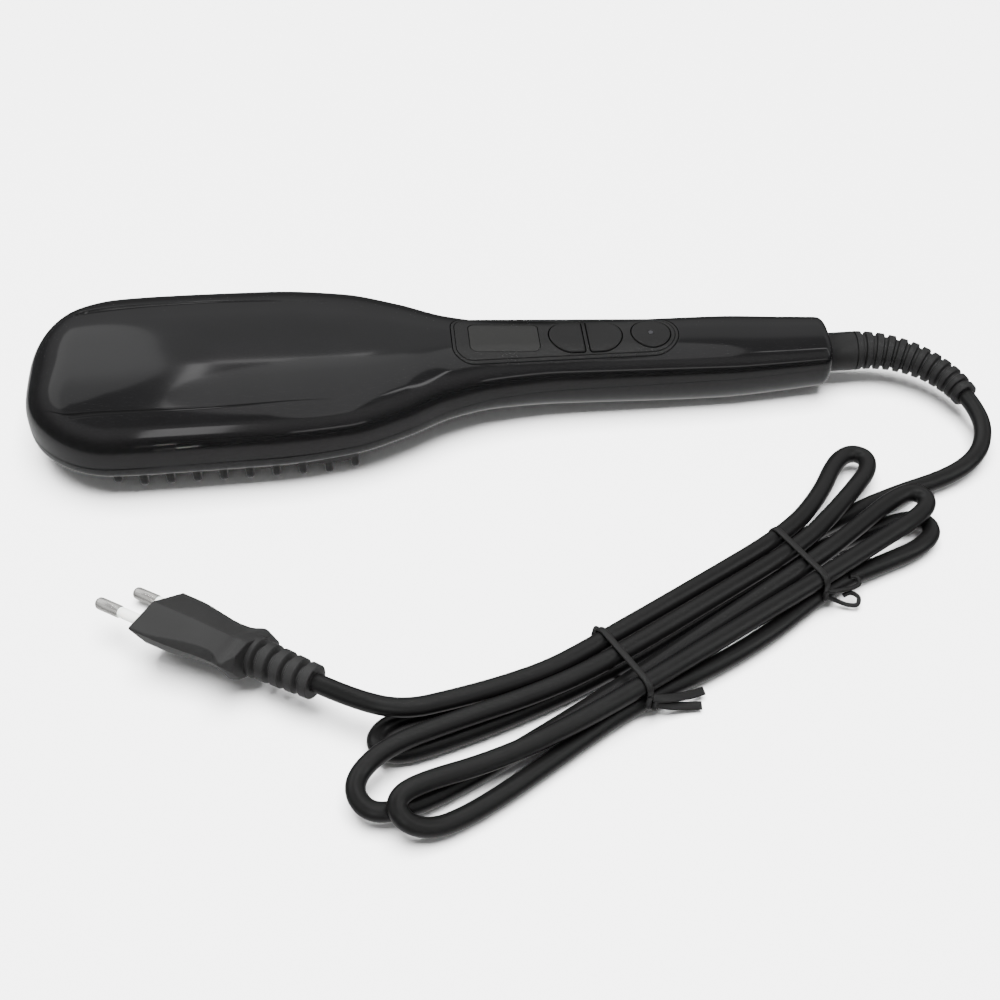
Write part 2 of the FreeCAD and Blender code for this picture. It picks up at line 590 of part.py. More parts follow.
# Tact switches on the board, each with a bore for its plunger
minus_x = place("minus_x", rocker_left + (rocker_middle - rocker_left) / 2)
plus_x = place("plus_x", rocker_right - (rocker_right - rocker_middle) / 2)
switches = []
for name in ("minus", "plus", "power"):
    centre = "places.%s_x" % name
    case = block(name + "_switch_case", "dims.switch_side", "dims.switch_side", "dims.switch_height",
                 centre, "0", "places.board_top")
    bore = rod(name + "_switch_bore", "dims.plunger_radius + dims.button_gap", "dims.switch_bore_depth",
               centre, "0", "places.switch_top - dims.switch_bore_depth")
    switches.append(cut(name + "_switch", case, bore))
    keep(rod(name + "_plunger", "dims.plunger_radius", "dims.plunger_show + dims.plunger_depth", centre, "0",
             "places.switch_top - dims.plunger_depth"), name + "_switch_plunger")
group("switch_bodies", switches)

# Parts soldered to the board's two faces
display_x = place("display_x", (window_left + window_right) / 2)
keep(block("display_module", "dims.display_length", "dims.display_width", "dims.display_height",
           "places.display_x", "0", "places.board_top"), "display_module")
keep(rod("indicator_lamp", "dims.lamp_radius", "dims.lamp_height", "places.power_x - dims.lamp_offset",
         "dims.lamp_offset", "places.board_top"), "indicator_lamp")
for name, short in (("controller_chip", "chip"), ("power_triac", "triac"), ("mains_capacitor", "capacitor")):
    keep(block(name, "dims.%s_length" % short, "dims.%s_width" % short, "dims.%s_height" % short,
               "places.tip_x + dims.%s_station" % short, "0",
               "places.board_low - dims.%s_height" % short), name)
keep(rod("varistor", "dims.varistor_radius", "dims.varistor_thickness",
         "places.tip_x + dims.varistor_station", "-dims.varistor_thickness / 2",
         "places.board_low - dims.varistor_radius - dims.rest_gap", "Y"),
     "varistor")
for name, end in (("heater_terminal", -1), ("mains_terminal", 1)):
    keep(block(name, "dims.terminal_length", "dims.terminal_width", "dims.terminal_height",
               "places.board_middle + (%d) * (dims.board_length - dims.terminal_length) / 2" % end, "0",
               "places.board_top"), name)


# Tubes along straight runs joined by arcs as large as the runs allow
def rounded_path(points):
    """Wire through the runs, with its bend radii."""
    points = [Vector(*point) for point in points]
    edges = []
    radii = []
    last = points[0]
    for before, point, after in zip(points, points[1:], points[2:]):
        back = before - point
        ahead = after - point
        turn = math.pi - back.getAngle(ahead)
        reach = 0.45 * min(back.Length, ahead.Length)
        radii.append(reach / math.tan(turn / 2))
        back.normalize()
        ahead.normalize()
        start = point + back * reach
        stop = point + ahead * reach
        inward = (back + ahead).normalize()
        middle = point + inward * (radii[-1] / math.cos(turn / 2) - radii[-1])
        edges.append(Part.LineSegment(last, start).toShape())
        edges.append(Part.Arc(start, middle, stop).toShape())
        last = stop
    edges.append(Part.LineSegment(last, points[-1]).toShape())
    return Part.Wire(edges), radii


def sweep(path, radius):
    """Round tube along a wire, its volume compared with section times length."""
    first = path.OrderedEdges[0]
    start = first.valueAt(first.FirstParameter)
    heading = first.tangentAt(first.FirstParameter)
    ring_wire = Part.Wire([Part.makeCircle(radius, start, heading)])
    solid = path.makePipeShell([ring_wire], True, False)
    expected = math.pi * radius ** 2 * path.Length
    if abs(solid.Volume - expected) > 0.02 * expected:
        raise ValueError("tube volume %.1f differs from %.1f" % (solid.Volume, expected))
    return solid


def tube(points, radius):
    path, _ = rounded_path(points)
    return sweep(path, radius)


# Leads from the heaters, fuse and sensor over the frame to the heater terminal
heater_end = field_middle + (size("heater_spacing") + size("heater_length")) / 2
heater_mid_height = plate_top + size("heater_height") / 2
heater_edge = size("heater_width") / 2
terminal_face = board_middle - size("board_length") / 2
wire_height = board_top + size("terminal_height") / 2
over = bar_top + 2 * size("lead_radius") + 1.0
fuse_height = plate_top + size("fuse_radius") + size("rest_gap")
fuse_end = field_middle + size("fuse_length")
lane = size("terminal_width") / 2 - 2 * size("lead_radius")
neck_x = terminal_face - 8.0
heel_x = field_middle + opening_half
leads = [
    [(heater_end - 9.0, heater_edge, heater_mid_height),
     (heater_end - 9.0, heater_edge + 4.0, heater_mid_height),
     (heater_end - 6.0, heater_edge + 5.5, over), (heel_x + 4.0, heater_edge + 5.0, over + 1.0),
     (neck_x, lane, wire_height), (terminal_face, lane, wire_height)],
    [(fuse_end, -size("fuse_side"), fuse_height), (fuse_end + 5.0, -size("fuse_side"), fuse_height),
     (fuse_end + 11.0, -size("fuse_side"), over), (heel_x + 4.0, -size("fuse_side"), over + 1.0),
     (neck_x, -lane, wire_height), (terminal_face, -lane, wire_height)],
    [(field_middle, -size("fuse_side"), fuse_height), (field_middle - 4.0, -size("fuse_side"), fuse_height),
     (field_middle - 7.0, -size("fuse_side") + 1.5, fuse_height - 0.6),
     (field_middle - 8.5, -heater_edge - 1.5, heater_mid_height),
     (field_middle - 8.5, -heater_edge, heater_mid_height)],
]
feature("heater_leads", Part.makeCompound([tube(points, size("lead_radius")) for points in leads]))
sensor_height = plate_top + size("sensor_radius") + size("rest_gap")
sensor_end = field_middle + size("sensor_length")
sensor_lane = lane - 4 * size("lead_radius")
sensor_leads = []
for offset in (-1, 1):
    spread = offset * (size("sensor_lead_radius") + 0.1)
    side = size("sensor_side") + spread
    sensor_leads.append([(sensor_end, side, sensor_height), (sensor_end + 4.0, side, sensor_height),
                         (sensor_end + 9.0, side, over + 4.0), (heel_x + 12.0, side - 2.0, over + 4.5),
                         (neck_x - 2.0, sensor_lane + spread, wire_height),
                         (terminal_face, sensor_lane + spread, wire_height)])
sensor_tubes = [tube(points, size("sensor_lead_radius")) for points in sensor_leads]
feature("sensor_leads", Part.makeCompound(sensor_tubes))

# Swivel barrel: smooth neck outside, flange and shank inside the handle
neck = Part.makeCylinder(size("barrel_radius"), wall + size("barrel_end_play") + size("barrel_out"),
                         Vector(flange_face, 0, axis_height), Vector(1, 0, 0))
flange = Part.makeCylinder(size("barrel_flange_radius"), size("barrel_flange_width"),
                           Vector(flange_face - size("barrel_flange_width"), 0, axis_height), Vector(1, 0, 0))
shank = Part.makeCylinder(size("shank_radius"), size("shank_length"), Vector(shank_end, 0, axis_height),
                          Vector(1, 0, 0))
feature("swivel_barrel", neck.fuse([flange, shank]).removeSplitter())
rings = []
contacts = []
ring_radius = size("shank_radius") + size("ring_thickness")
contact_low = place("contact_low", size("pedestal_height") + size("contact_block_height"))
place("contact_height", axis_height - ring_radius - size("contact_gap") - contact_low)
for index, end in enumerate((-1, 1)):
    ring_x = "places.shank_middle + (%d) * dims.ring_spacing / 2 - dims.ring_width / 2" % end
    ring_outer = rod("ring_outer_%d" % index, "dims.shank_radius + dims.ring_thickness", "dims.ring_width",
                     ring_x, "0", "places.axis_height", "X")
    ring_inner = rod("ring_inner_%d" % index, "dims.shank_radius + dims.press_gap", "dims.ring_width",
                     ring_x, "0", "places.axis_height", "X")
    rings.append(cut("slip_ring_%d" % index, ring_outer, ring_inner))
    contacts.append(block("contact_spring_%d" % index, "dims.contact_width", "dims.contact_depth",
                          "places.contact_height", "places.shank_middle + (%d) * dims.ring_spacing / 2" % end,
                          "0", "places.contact_low"))
group("slip_rings", rings)
group("contact_springs", contacts)
keep(block("contact_block", "dims.contact_block_length", "dims.contact_block_width",
           "dims.contact_block_height", "places.shank_middle", "0", "dims.pedestal_height"), "contact_block")

# Mains wires from the contacts to the board's rear terminal
mains_face = board_middle + size("board_length") / 2
mains_lane = size("contact_depth") / 2
wire_low = contact_low + size("mains_wire_radius") + 0.1
post_clear = size("case_post_radius") + 2 * size("mains_wire_radius") + 0.6
mains = []
for side in (-1, 1):
    contact_x = shank_middle + side * size("ring_spacing") / 2
    mains.append([(contact_x, side * mains_lane, wire_low), (contact_x, side * (mains_lane + 3.0), wire_low),
                  (shank_end - 5.0, side * post_clear, wire_low + 1.0),
                  (case_screws[1] - 1.0, side * post_clear, wire_low + 5.0),
                  (mains_face + 4.5, side * (post_clear - 0.8), wire_height),
                  (mains_face, side * (post_clear - 0.8), wire_height)])
feature("mains_wires", Part.makeCompound([tube(points, size("mains_wire_radius")) for points in mains]))

# Ribbed strain relief, bending round an arc from the barrel's end
cord_radius = size("cord_diameter") / 2
barrel_end = Vector(end_x + size("barrel_out"), 0, axis_height)
tilt = math.radians(size("relief_tilt"))
relief_turn = math.radians(size("relief_turn"))
bend_way = Vector(0, -math.cos(tilt), -math.sin(tilt))


def relief_point(part):
    angle = relief_turn * part
    offset = Vector(1, 0, 0) * math.sin(angle) + bend_way * (1 - math.cos(angle))
    heading = Vector(1, 0, 0) * math.cos(angle) + bend_way * math.sin(angle)
    return barrel_end + offset * size("relief_radius"), heading


def ribbed(station_of, ribs, first_radius, last_radius, depth, steady):
    """Ruled loft through four circles for each rib along a curve, their seams on a steady axis."""
    rings = []
    for rib in range(ribs):
        for part, low in ((0.0, 0), (0.62, 0), (0.7, 1), (0.97, 1)):
            along = (rib + part) / ribs
            rings.append((along, first_radius + (last_radius - first_radius) * along - low * depth))
    rings.append((1.0, last_radius))
    circles = []
    for along, radius in rings:
        centre, heading = station_of(along)
        circle = Part.makeCircle(radius)
        circle.Placement = FreeCAD.Placement(centre, FreeCAD.Rotation(steady, Vector(), heading, "ZXY"))
        circles.append(Part.Wire([circle]))
    return Part.makeLoft(circles, True, True)


relief = ribbed(relief_point, int(size("relief_ribs")), size("barrel_radius"), size("relief_end_radius"),
                size("rib_depth"), Vector(1, 0, 0).cross(bend_way))
feature("strain_relief", relief)

# Hank frame: u along the runs towards the brush's cord end, v across towards the brush
hank_turn = math.radians(size("hank_angle"))
layer_low = cord_radius + size("tie_thickness") + size("tie_gap") + 0.1
layer_high = layer_low + size("hank_layer")


def hank_point(along, across, height):
    return Vector(size("hank_x") + along * math.cos(hank_turn) - across * math.sin(hank_turn),
                  size("hank_y") + along * math.sin(hank_turn) + across * math.cos(hank_turn), height)


def hank_way(along, across):
    return hank_point(along, across, 0) - hank_point(0, 0, 0)


def biarc(first, first_way, last, last_way):
    """Two tangent arcs between two points with given headings."""
    gap = last - first
    ways = first_way + last_way
    square = ways.dot(ways) - 4
    mixed = gap.dot(ways)
    if abs(square) < 1e-9:
        leg = gap.dot(gap) / (2 * mixed)
    else:
        leg = (mixed - math.sqrt(mixed ** 2 - square * gap.dot(gap))) / square
        if leg < 0:
            leg = (mixed + math.sqrt(mixed ** 2 - square * gap.dot(gap))) / square
    joint = (first + first_way * leg + last - last_way * leg) * 0.5
    joint_way = (last - last_way * leg) - (first + first_way * leg)
    joint_way.normalize()
    return [bend(first, first_way, joint), bend(joint, joint_way, last)]


def bend(start, way, stop):
    """Arc from a point along a heading to another point, or a line where it is straight."""
    chord = stop - start
    side = chord - way * chord.dot(way)
    if side.Length < 1e-6:
        return Part.LineSegment(start, stop).toShape()
    radius = chord.dot(chord) / (2 * side.Length)
    side.normalize()
    centre = start + side * radius
    out = (start - centre) + (stop - centre)
    if out.Length < 1e-6:
        out = Vector(way)
    elif chord.dot(way) < 0:
        out = out * -1
    out.normalize()
    return Part.Arc(start, centre + out * radius, stop).toShape()


# Hank: runs spiral in on the lower layer, climb along the middle run and spiral out on the upper one
runs = int(size("hank_runs"))
middle_run = (runs - 1) // 2
left_end = -size("hank_left_reach")
right_end = size("hank_right_reach")
hank_edges = []
run_ends = []
for run in range(runs):
    away = size("hank_step") * (0.25 + 0.5 * abs(middle_run - run))
    way = -1 if run % 2 == 0 else 1
    across = -way * away
    spread = -way * (away + size("hank_draw"))
    low = layer_low if run <= middle_run else layer_high
    high = layer_low if run < middle_run else layer_high
    first, last = (right_end, left_end) if way < 0 else (left_end, right_end)
    ties = (size("tie_right"), size("tie_left"))
    near_tie, far_tie = ties if way < 0 else ties[::-1]
    near_tie -= way * 2 * size("tie_width")
    far_tie += way * 2 * size("tie_width")
    heading = hank_way(way, 0)
    start = hank_point(first, spread, low)
    tied = hank_point(near_tie, across, low)
    loosed = hank_point(far_tie, across, high)
    stop = hank_point(last, spread, high)
    if run_ends:
        hank_edges += biarc(run_ends[-1], hank_way(-way, 0), start, heading)
    else:
        lead_in = hank_point(first - way * size("cord_diameter"), spread, low)
        hank_edges.append(Part.LineSegment(lead_in, start).toShape())
    hank_edges += biarc(start, heading, tied, heading)
    hank_edges += biarc(tied, heading, loosed, heading)
    if run < runs - 1:
        hank_edges += biarc(loosed, heading, stop, heading)
    else:
        stop = loosed + heading * size("cord_diameter")
        hank_edges.append(Part.LineSegment(loosed, stop).toShape())
    run_ends.append(stop)
hank_path = Part.Wire(hank_edges)
feature("cord_hank", sweep(hank_path, cord_radius))


def least_gap(path, diameter, step):
    """Smallest clear gap between stretches of the tube that lie apart along it."""
    points = path.discretize(Distance=step)
    skip = int(math.pi * diameter / step)
    nearest = min(points[i].distanceToPoint(points[j]) for i in range(len(points))
                  for j in range(i + skip, len(points)))
    return nearest - diameter


hank_gap = least_gap(hank_path, size("cord_diameter"), 1.5)
print("hank length %.1f least gap %.2f" % (hank_path.Length, hank_gap))


# Free stretches of cord: points placed along and aside of the line between their ends
def slack(start, start_way, stop, stop_way, first, last, middles):
    gap = stop - start
    gap.z = 0
    aside = Vector(-gap.y, gap.x, 0)
    points = [start, start + start_way * first * gap.Length]
    for along, out, fall in middles:
        point = start + gap * along + aside * out
        points.append(Vector(point.x, point.y, start.z + (stop.z - start.z) * fall))
    return points + [stop - stop_way * last * gap.Length, stop]


# Lead from the strain relief round to the hank's first run
relief_end, relief_way = relief_point(1.0)
hank_in = Vector(*hank_edges[0].Vertexes[0].Point)
lead_points = slack(relief_end, relief_way, hank_in, hank_way(-1, 0), 0.133, 0.2155,
                    [(0.156, 0.246, 0.44), (0.311, 0.302, 0.72), (0.522, 0.274, 1.0)])
lead_path, lead_radii = rounded_path(lead_points)
print("lead length %.1f radii" % lead_path.Length, ["%.0f" % radius for radius in lead_radii])
feature("cord_lead", sweep(lead_path, cord_radius))

# Plug frame: a from the front face to the cord, b across the pins, n through the thickness
yaw = math.radians(size("plug_yaw"))
pitch = math.radians(size("plug_pitch"))
roll = math.radians(size("plug_roll"))
plug_a = Vector(math.cos(yaw) * math.cos(pitch), math.sin(yaw) * math.cos(pitch), math.sin(pitch))
level = Vector(-math.sin(yaw), math.cos(yaw), 0)
plug_b = level * math.cos(roll) + plug_a.cross(level) * math.sin(roll)
plug_n = plug_a.cross(plug_b)
plug_front = Vector(size("plug_x"), size("plug_y"), size("plug_z"))


def plug_point(along, across, up):
    return plug_front + plug_a * along + plug_b * across + plug_n * up


def plug_section(along, half_width, half_height, flat):
    corners = [(half_width, 0), (flat, half_height), (-flat, half_height),
               (-half_width, 0), (-flat, -half_height), (flat, -half_height), (half_width, 0)]
    return Part.makePolygon([plug_point(along, across, up) for across, up in corners])


plug_height = size("plug_half_height")
plug_flat = size("plug_flat")
body = Part.makeLoft([
    plug_section(0.0, size("plug_half_width"), plug_height, plug_flat),
    plug_section(size("plug_front"), size("plug_half_width"), plug_height, plug_flat),
    plug_section(size("plug_waist"), size("plug_waist_half_width"), plug_height, plug_flat),
    plug_section(size("plug_grip"), size("plug_grip_half_width"), plug_height, plug_flat),
    plug_section(size("plug_rear"), size("plug_rear_half_width"), size("plug_rear_half_height"),
                 size("plug_rear_half_width") / 2)], True, True)


def plug_relief_point(part):
    return plug_point(size("plug_rear") + part * size("plug_relief_length"), 0, 0), plug_a


tail_relief = ribbed(plug_relief_point, int(size("plug_relief_ribs")), size("plug_relief_radius"),
                     size("plug_relief_end"), size("rib_depth"), plug_b)
body = body.fuse(tail_relief)
pins = []
sleeves = []
for side in (-1, 1):
    across = side * size("pin_spacing") / 2
    root = plug_point(size("pin_root"), across, 0)
    collar = plug_point(-(size("pin_length") - size("pin_bare")), across, 0)
    face = plug_point(0, across, 0)
    sleeve_length = size("pin_length") - size("pin_bare")
    core = Part.makeCylinder(size("pin_core"), size("pin_root") + sleeve_length, root, plug_a * -1)
    tip_round = 0.4 * size("pin_radius")
    metal = Part.makeCylinder(size("pin_radius"), size("pin_bare") - tip_round, collar, plug_a * -1)
    nose = Part.makeCone(size("pin_radius"), size("pin_radius") - tip_round, tip_round,
                         collar - plug_a * (size("pin_bare") - tip_round), plug_a * -1)
    pins.append(core.fuse([metal, nose]).removeSplitter())
    bore = size("pin_core") + size("press_gap")
    sleeve = Part.makeCylinder(size("sleeve_radius"), sleeve_length, face, plug_a * -1)
    sleeves.append(sleeve.cut(Part.makeCylinder(bore, sleeve_length, face, plug_a * -1)))
    body = body.cut(Part.makeCylinder(bore, size("pin_root"), root, plug_a * -1))
feature("plug_body", body)
feature("plug_pins", Part.makeCompound(pins))
feature("plug_pin_sleeves", Part.makeCompound(sleeves))

plug_tail, _ = plug_relief_point(1.0)
hank_out = run_ends[-1]
tail_points = slack(hank_out, hank_way(-1, 0), plug_tail, plug_a * -1, 0.123, 0.168,
                    [(0.301, 0.114, 0.14), (0.478, 0.147, 0.28), (0.672, 0.159, 0.55)])
tail_path, tail_radii = rounded_path(tail_points)
print("tail length %.1f radii" % tail_path.Length, ["%.0f" % radius for radius in tail_radii])
feature("cord_tail", sweep(tail_path, cord_radius))


# Wire ties: a flat band round the bundle with its twisted ends
def tie(along, ends):
    inner = size("tie_gap") + cord_radius
    widest = size("hank_step") * (0.25 + 0.5 * middle_run)
    narrow = size("hank_step") * (0.25 + 0.5 * (middle_run - 1))
    corners = [(widest, layer_high), (-narrow, layer_high), (-narrow, layer_low), (widest, layer_low)]
    discs = [(across, up, inner) for across, up in corners]
    band = prism(discs, 0.0, size("tie_width"), size("tie_thickness"))
    band = band.cut(prism(discs, 0.0, size("tie_width")))
    spot = hank_point(along - size("tie_width") / 2, 0, 0)
    turn = FreeCAD.Rotation(hank_way(0, 1), Vector(0, 0, 1), hank_way(1, 0), "XYZ")
    band.Placement = FreeCAD.Placement(spot, turn)
    wires = [tube([hank_point(along + u, v, z) for u, v, z in route], size("tie_wire")) for route in ends]
    return band.fuse(wires)


knot_side = -(size("hank_step") * (0.25 + 0.5 * (middle_run - 1)) + cord_radius + size("tie_gap"))
left_ends = [[(0.0, knot_side - 0.2, 6.0), (0.0, knot_side - 3.0, 6.0),
              (4.0, knot_side - 6.0, 5.0), (13.0, knot_side - 8.0, 3.6)],
             [(0.0, knot_side - 0.2, 8.6), (0.0, knot_side - 3.0, 8.6),
              (6.0, knot_side - 4.2, 8.0), (17.0, knot_side - 4.5, 6.4)]]
right_ends = [[(0.0, knot_side - 0.2, 6.0), (0.0, knot_side - 3.0, 6.0),
               (5.0, knot_side - 5.0, 4.5), (8.0, knot_side - 9.0, 3.2)],
              [(0.0, knot_side - 0.2, 8.6), (0.0, knot_side - 3.0, 8.6),
               (7.0, knot_side - 4.0, 7.6), (13.0, knot_side - 3.5, 6.6)]]
feature("left_tie", tie(size("tie_left"), left_ends))
feature("right_tie", tie(size("tie_right"), right_ends))

# Check every object, then write each node
doc.recompute()
for item in doc.Objects:
    if "Invalid" in item.State or "Error" in item.State:
        raise RuntimeError("%s failed: %s" % (item.Label, item.State))
for name, item in nodes.items():
    if item.Shape.isNull() or not item.Shape.isValid():
        raise RuntimeError("%s has no valid shape" % name)
os.makedirs("parts", exist_ok=True)
for name, item in nodes.items():
    item.Shape.exportStep("parts/%s.step" % name)
    solids = item.Shape.Solids
    print("%-20s solids %2d volume %9.1f" % (name, len(solids), sum(solid.Volume for solid in solids)))
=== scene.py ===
import functools
from math import acos, atan2, copysign, cos, hypot, pi, radians, sin, sqrt

import bmesh
import bpy
import numpy as np
from mathutils import Matrix, Vector
from mathutils.geometry import delaunay_2d_cdt


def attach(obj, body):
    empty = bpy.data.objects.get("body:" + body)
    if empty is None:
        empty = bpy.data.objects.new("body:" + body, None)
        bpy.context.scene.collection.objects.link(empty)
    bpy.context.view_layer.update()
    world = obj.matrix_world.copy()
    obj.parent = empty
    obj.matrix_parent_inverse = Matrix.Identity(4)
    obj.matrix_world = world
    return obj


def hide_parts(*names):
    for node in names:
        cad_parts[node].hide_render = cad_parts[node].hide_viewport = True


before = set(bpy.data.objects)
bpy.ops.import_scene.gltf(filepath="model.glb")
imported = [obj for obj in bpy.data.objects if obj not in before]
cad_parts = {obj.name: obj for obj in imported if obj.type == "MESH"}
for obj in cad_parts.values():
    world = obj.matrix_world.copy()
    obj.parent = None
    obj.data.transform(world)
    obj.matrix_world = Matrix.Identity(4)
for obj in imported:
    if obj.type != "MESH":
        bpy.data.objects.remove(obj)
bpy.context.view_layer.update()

# Top cover. The upper half of the casing is one moulding in polished black plastic, broad and
# softly crowned over the brush head and drawn in to a slim handle. A fine line is moulded along
# each side of the head, a pocket takes the control panel, and screws from below hold it down.
MM = 0.001
TIP, LENGTH, SEAM = -146.25, 282.0, 15.2
NOSE_ROUND, CROWN_ROUND, END_ROUND = 31.0, 18.0, 3.0
CHIN_ROUND, CHIN_LIFT = 6.0, 6.1
HEAD_END, NECK = 84.0, 79.0
UPPER_SQUARE, UPPER_EASE, LOWER_SQUARE, LOWER_EASE = 3.2, 0.5, 3.6, 1.3
SEAM_FOLD, SEAM_GAP, SEAM_LIP, SEAM_LIP_SHARE = 0.3, 0.03, 2.0, 0.3
CREASE = radians(38)
STATIONS = (0, 42, 84, 111, 130, 146, 163, 186, 244, 265, 282)
HALF_WIDTHS = (36.0, 38.2, 37.8, 35.0, 28.2, 20.1, 15.5, 13.6, 14.0, 12.8, 11.6)
TOPS = (35.4, 36.5, 35.6, 34.2, 32.8, 31.4, 30.2, 28.8, 26.3, 24.8, 23.8)
BOTTOMS = (8.0, 7.2, 6.9, 6.6, 6.0, 5.2, 4.2, 2.6, 0.0, 0.6, 1.7)


class Reading:
    """A value on its way through a node tree; sums and products become Math nodes."""

    def __init__(self, nodes, socket):
        self.nodes = nodes
        self.socket = socket

    def maths(self, operation, other, turned=False):
        first, second = (other, self) if turned else (self, other)
        return self.nodes.node("ShaderNodeMath", {0: first, 1: second}, operation=operation)

    __add__ = __radd__ = functools.partialmethod(maths, "ADD")
    __sub__ = functools.partialmethod(maths, "SUBTRACT")
    __rsub__ = functools.partialmethod(maths, "SUBTRACT", turned=True)
    __mul__ = __rmul__ = functools.partialmethod(maths, "MULTIPLY")


class Nodes:
    """A node tree whose nodes come from a type, settings and the values or links of sockets."""

    def __init__(self, tree):
        self.tree = tree

    def node(self, kind, sockets=None, out=0, **settings):
        made = self.tree.nodes.new(kind)
        for name, value in settings.items():
            if name == "stops":
                ramp = made.color_ramp
                while len(ramp.elements) < len(value):
                    ramp.elements.new(1.0)
                for element, (position, colour) in zip(ramp.elements, value):
                    element.position = position
                    element.color = colour
            else:
                setattr(made, name, value)
        for name, value in (sockets or {}).items():
            if isinstance(value, Reading):
                self.tree.links.new(value.socket, made.inputs[name])
            else:
                made.inputs[name].default_value = value
        return Reading(self, made.outputs[out])


class Finish(Nodes):
    """A surface finish: constants on the shader's own sockets, the rest fed from nodes."""

    def __init__(self, name, **constants):
        self.material = bpy.data.materials.new(name)
        self.material.use_nodes = True
        super().__init__(self.material.node_tree)
        self.shader = self.tree.nodes["Principled BSDF"]
        for socket, value in constants.items():
            self.shader.inputs[socket.replace("_", " ")].default_value = value
        self.place = self.node("ShaderNodeTexCoord", out="Object")

    def feed(self, socket, reading):
        self.tree.links.new(reading.socket, self.shader.inputs[socket])

    def noise(self, scale, detail=2.0, place=None):
        return self.node("ShaderNodeTexNoise", {"Vector": place or self.place, "Scale": scale, "Detail": detail})

    def stretched(self, x, y, z):
        """Object coordinates drawn out along an axis, for grain and brushed marks."""
        return self.node("ShaderNodeMapping", {"Vector": self.place, "Scale": (x, y, z)})

    def blend(self, factor, first, second):
        return self.node("ShaderNodeMix", {0: factor, 6: first, 7: second}, out=2, data_type="RGBA")

    def bump(self, height, depth):
        self.feed("Normal", self.node("ShaderNodeBump", {"Strength": 1.0, "Distance": depth, "Height": height}))

    def tone(self, mask, dark, pale, rough, spread, depth):
        """Colour, roughness and relief that follow one pattern."""
        self.feed("Base Color", self.blend(mask, dark, pale))
        self.feed("Roughness", rough + spread * mask)
        self.bump(mask, depth)


def grey(level, blue=0.0):
    return (level, level, level + blue, 1.0)


def moulded(name, dark, pale, rough, spread, grain, depth, **constants):
    """Moulded plastic or rubber: a clouded tone and gloss over a fine skin."""
    finish = Finish(name, **constants)
    cloud = finish.noise(55.0, 3.0)
    finish.feed("Base Color", finish.blend(cloud, dark, pale))
    finish.feed("Roughness", cloud * spread + (rough - spread / 2))
    finish.bump(finish.noise(grain, 3.0), depth)
    return finish


def through(stations, values, station):
    """Smooth curve through values at stations, with no overshoot."""
    spans = [b - a for a, b in zip(stations, stations[1:])]
    rises = [(b - a) / span for a, b, span in zip(values, values[1:], spans)]
    slopes = [rises[0]]
    for before, after, first, second in zip(rises, rises[1:], spans, spans[1:]):
        one, two = 2 * second + first, second + 2 * first
        slopes.append((one + two) / (one / before + two / after) if before * after > 0 else 0.0)
    slopes.append(rises[-1])
    index = 0
    while index < len(spans) - 1 and station > stations[index + 1]:
        index += 1
    part = (station - stations[index]) / spans[index]
    rest = 1 - part
    return (values[index] * (1 + 2 * part) * rest ** 2 + values[index + 1] * part ** 2 * (3 - 2 * part)
            + spans[index] * part * rest * (slopes[index] * rest - slopes[index + 1] * part))


def end_round(distance, reach, drop):
    part = max(0.0, (reach - distance) / reach)
    return drop * (1 - sqrt(1 - part * part))


@functools.lru_cache(maxsize=None)
def casing_at(station, upper):
    """Half width, crown or underside, and squareness of a casing half at a station from the tip."""
    station = min(max(station, 0.0), LENGTH)
    tail = end_round(LENGTH - station, END_ROUND, END_ROUND)
    half = through(STATIONS, HALF_WIDTHS, station) - end_round(station, NOSE_ROUND, NOSE_ROUND) - tail
    part = min(1.0, max(0.0, (station - HEAD_END) / NECK))
    ease = part * part * (3 - 2 * part)
    if upper:
        top = through(STATIONS, TOPS, station) - end_round(station, CROWN_ROUND, CROWN_ROUND) - tail
        return half, top, UPPER_SQUARE - UPPER_EASE * ease
    bottom = through(STATIONS, BOTTOMS, station) + end_round(station, CHIN_ROUND, CHIN_LIFT) + tail
    return half, bottom, LOWER_SQUARE - LOWER_EASE * ease


def skin_point(x, y, upper):
    half, edge, power = casing_at(x - TIP, upper)
    share = max(0.0, 1 - min(1.0, abs(y) / half) ** power)
    return Vector((x, y, SEAM + (edge - SEAM) * share ** (1 / power)))


def swell(station, y, z):
    """1 on the casing's skin, and less inside it."""
    half, edge, power = casing_at(station, z > SEAM)
    return ((abs(y) / half) ** power + abs((z - SEAM) / (edge - SEAM)) ** power) ** (1 / power)


def skin_normal(point):
    x, y, z = point
    station = x - TIP
    step = 0.02
    return Vector((swell(station + step, y, z) - swell(station - step, y, z),
                   swell(station, y + step, z) - swell(station, y - step, z),
                   swell(station, y, z + step) - swell(station, y, z - step))).normalized()


def belt(discs, grow=0.0, steps=14):
    """Outline of a taut belt round discs (x, y, radius), given anticlockwise."""
    if len(discs) == 1:
        x, y, radius = discs[0]
        turns = [2 * pi * k / (4 * steps) for k in range(4 * steps)]
        return [(x + (radius + grow) * cos(t), y + (radius + grow) * sin(t)) for t in turns]
    headings = []
    for (x, y, radius), (next_x, next_y, next_radius) in zip(discs, discs[1:] + discs[:1]):
        reach = hypot(next_x - x, next_y - y)
        headings.append(atan2(next_y - y, next_x - x) - acos((radius - next_radius) / reach))
    points = []
    for index, (x, y, radius) in enumerate(discs):
        start = headings[index - 1]
        turn = (headings[index] - start) % (2 * pi)
        for k in range(steps + 1):
            angle = start + turn * k / steps
            points.append((x + (radius + grow) * cos(angle), y + (radius + grow) * sin(angle)))
    return points


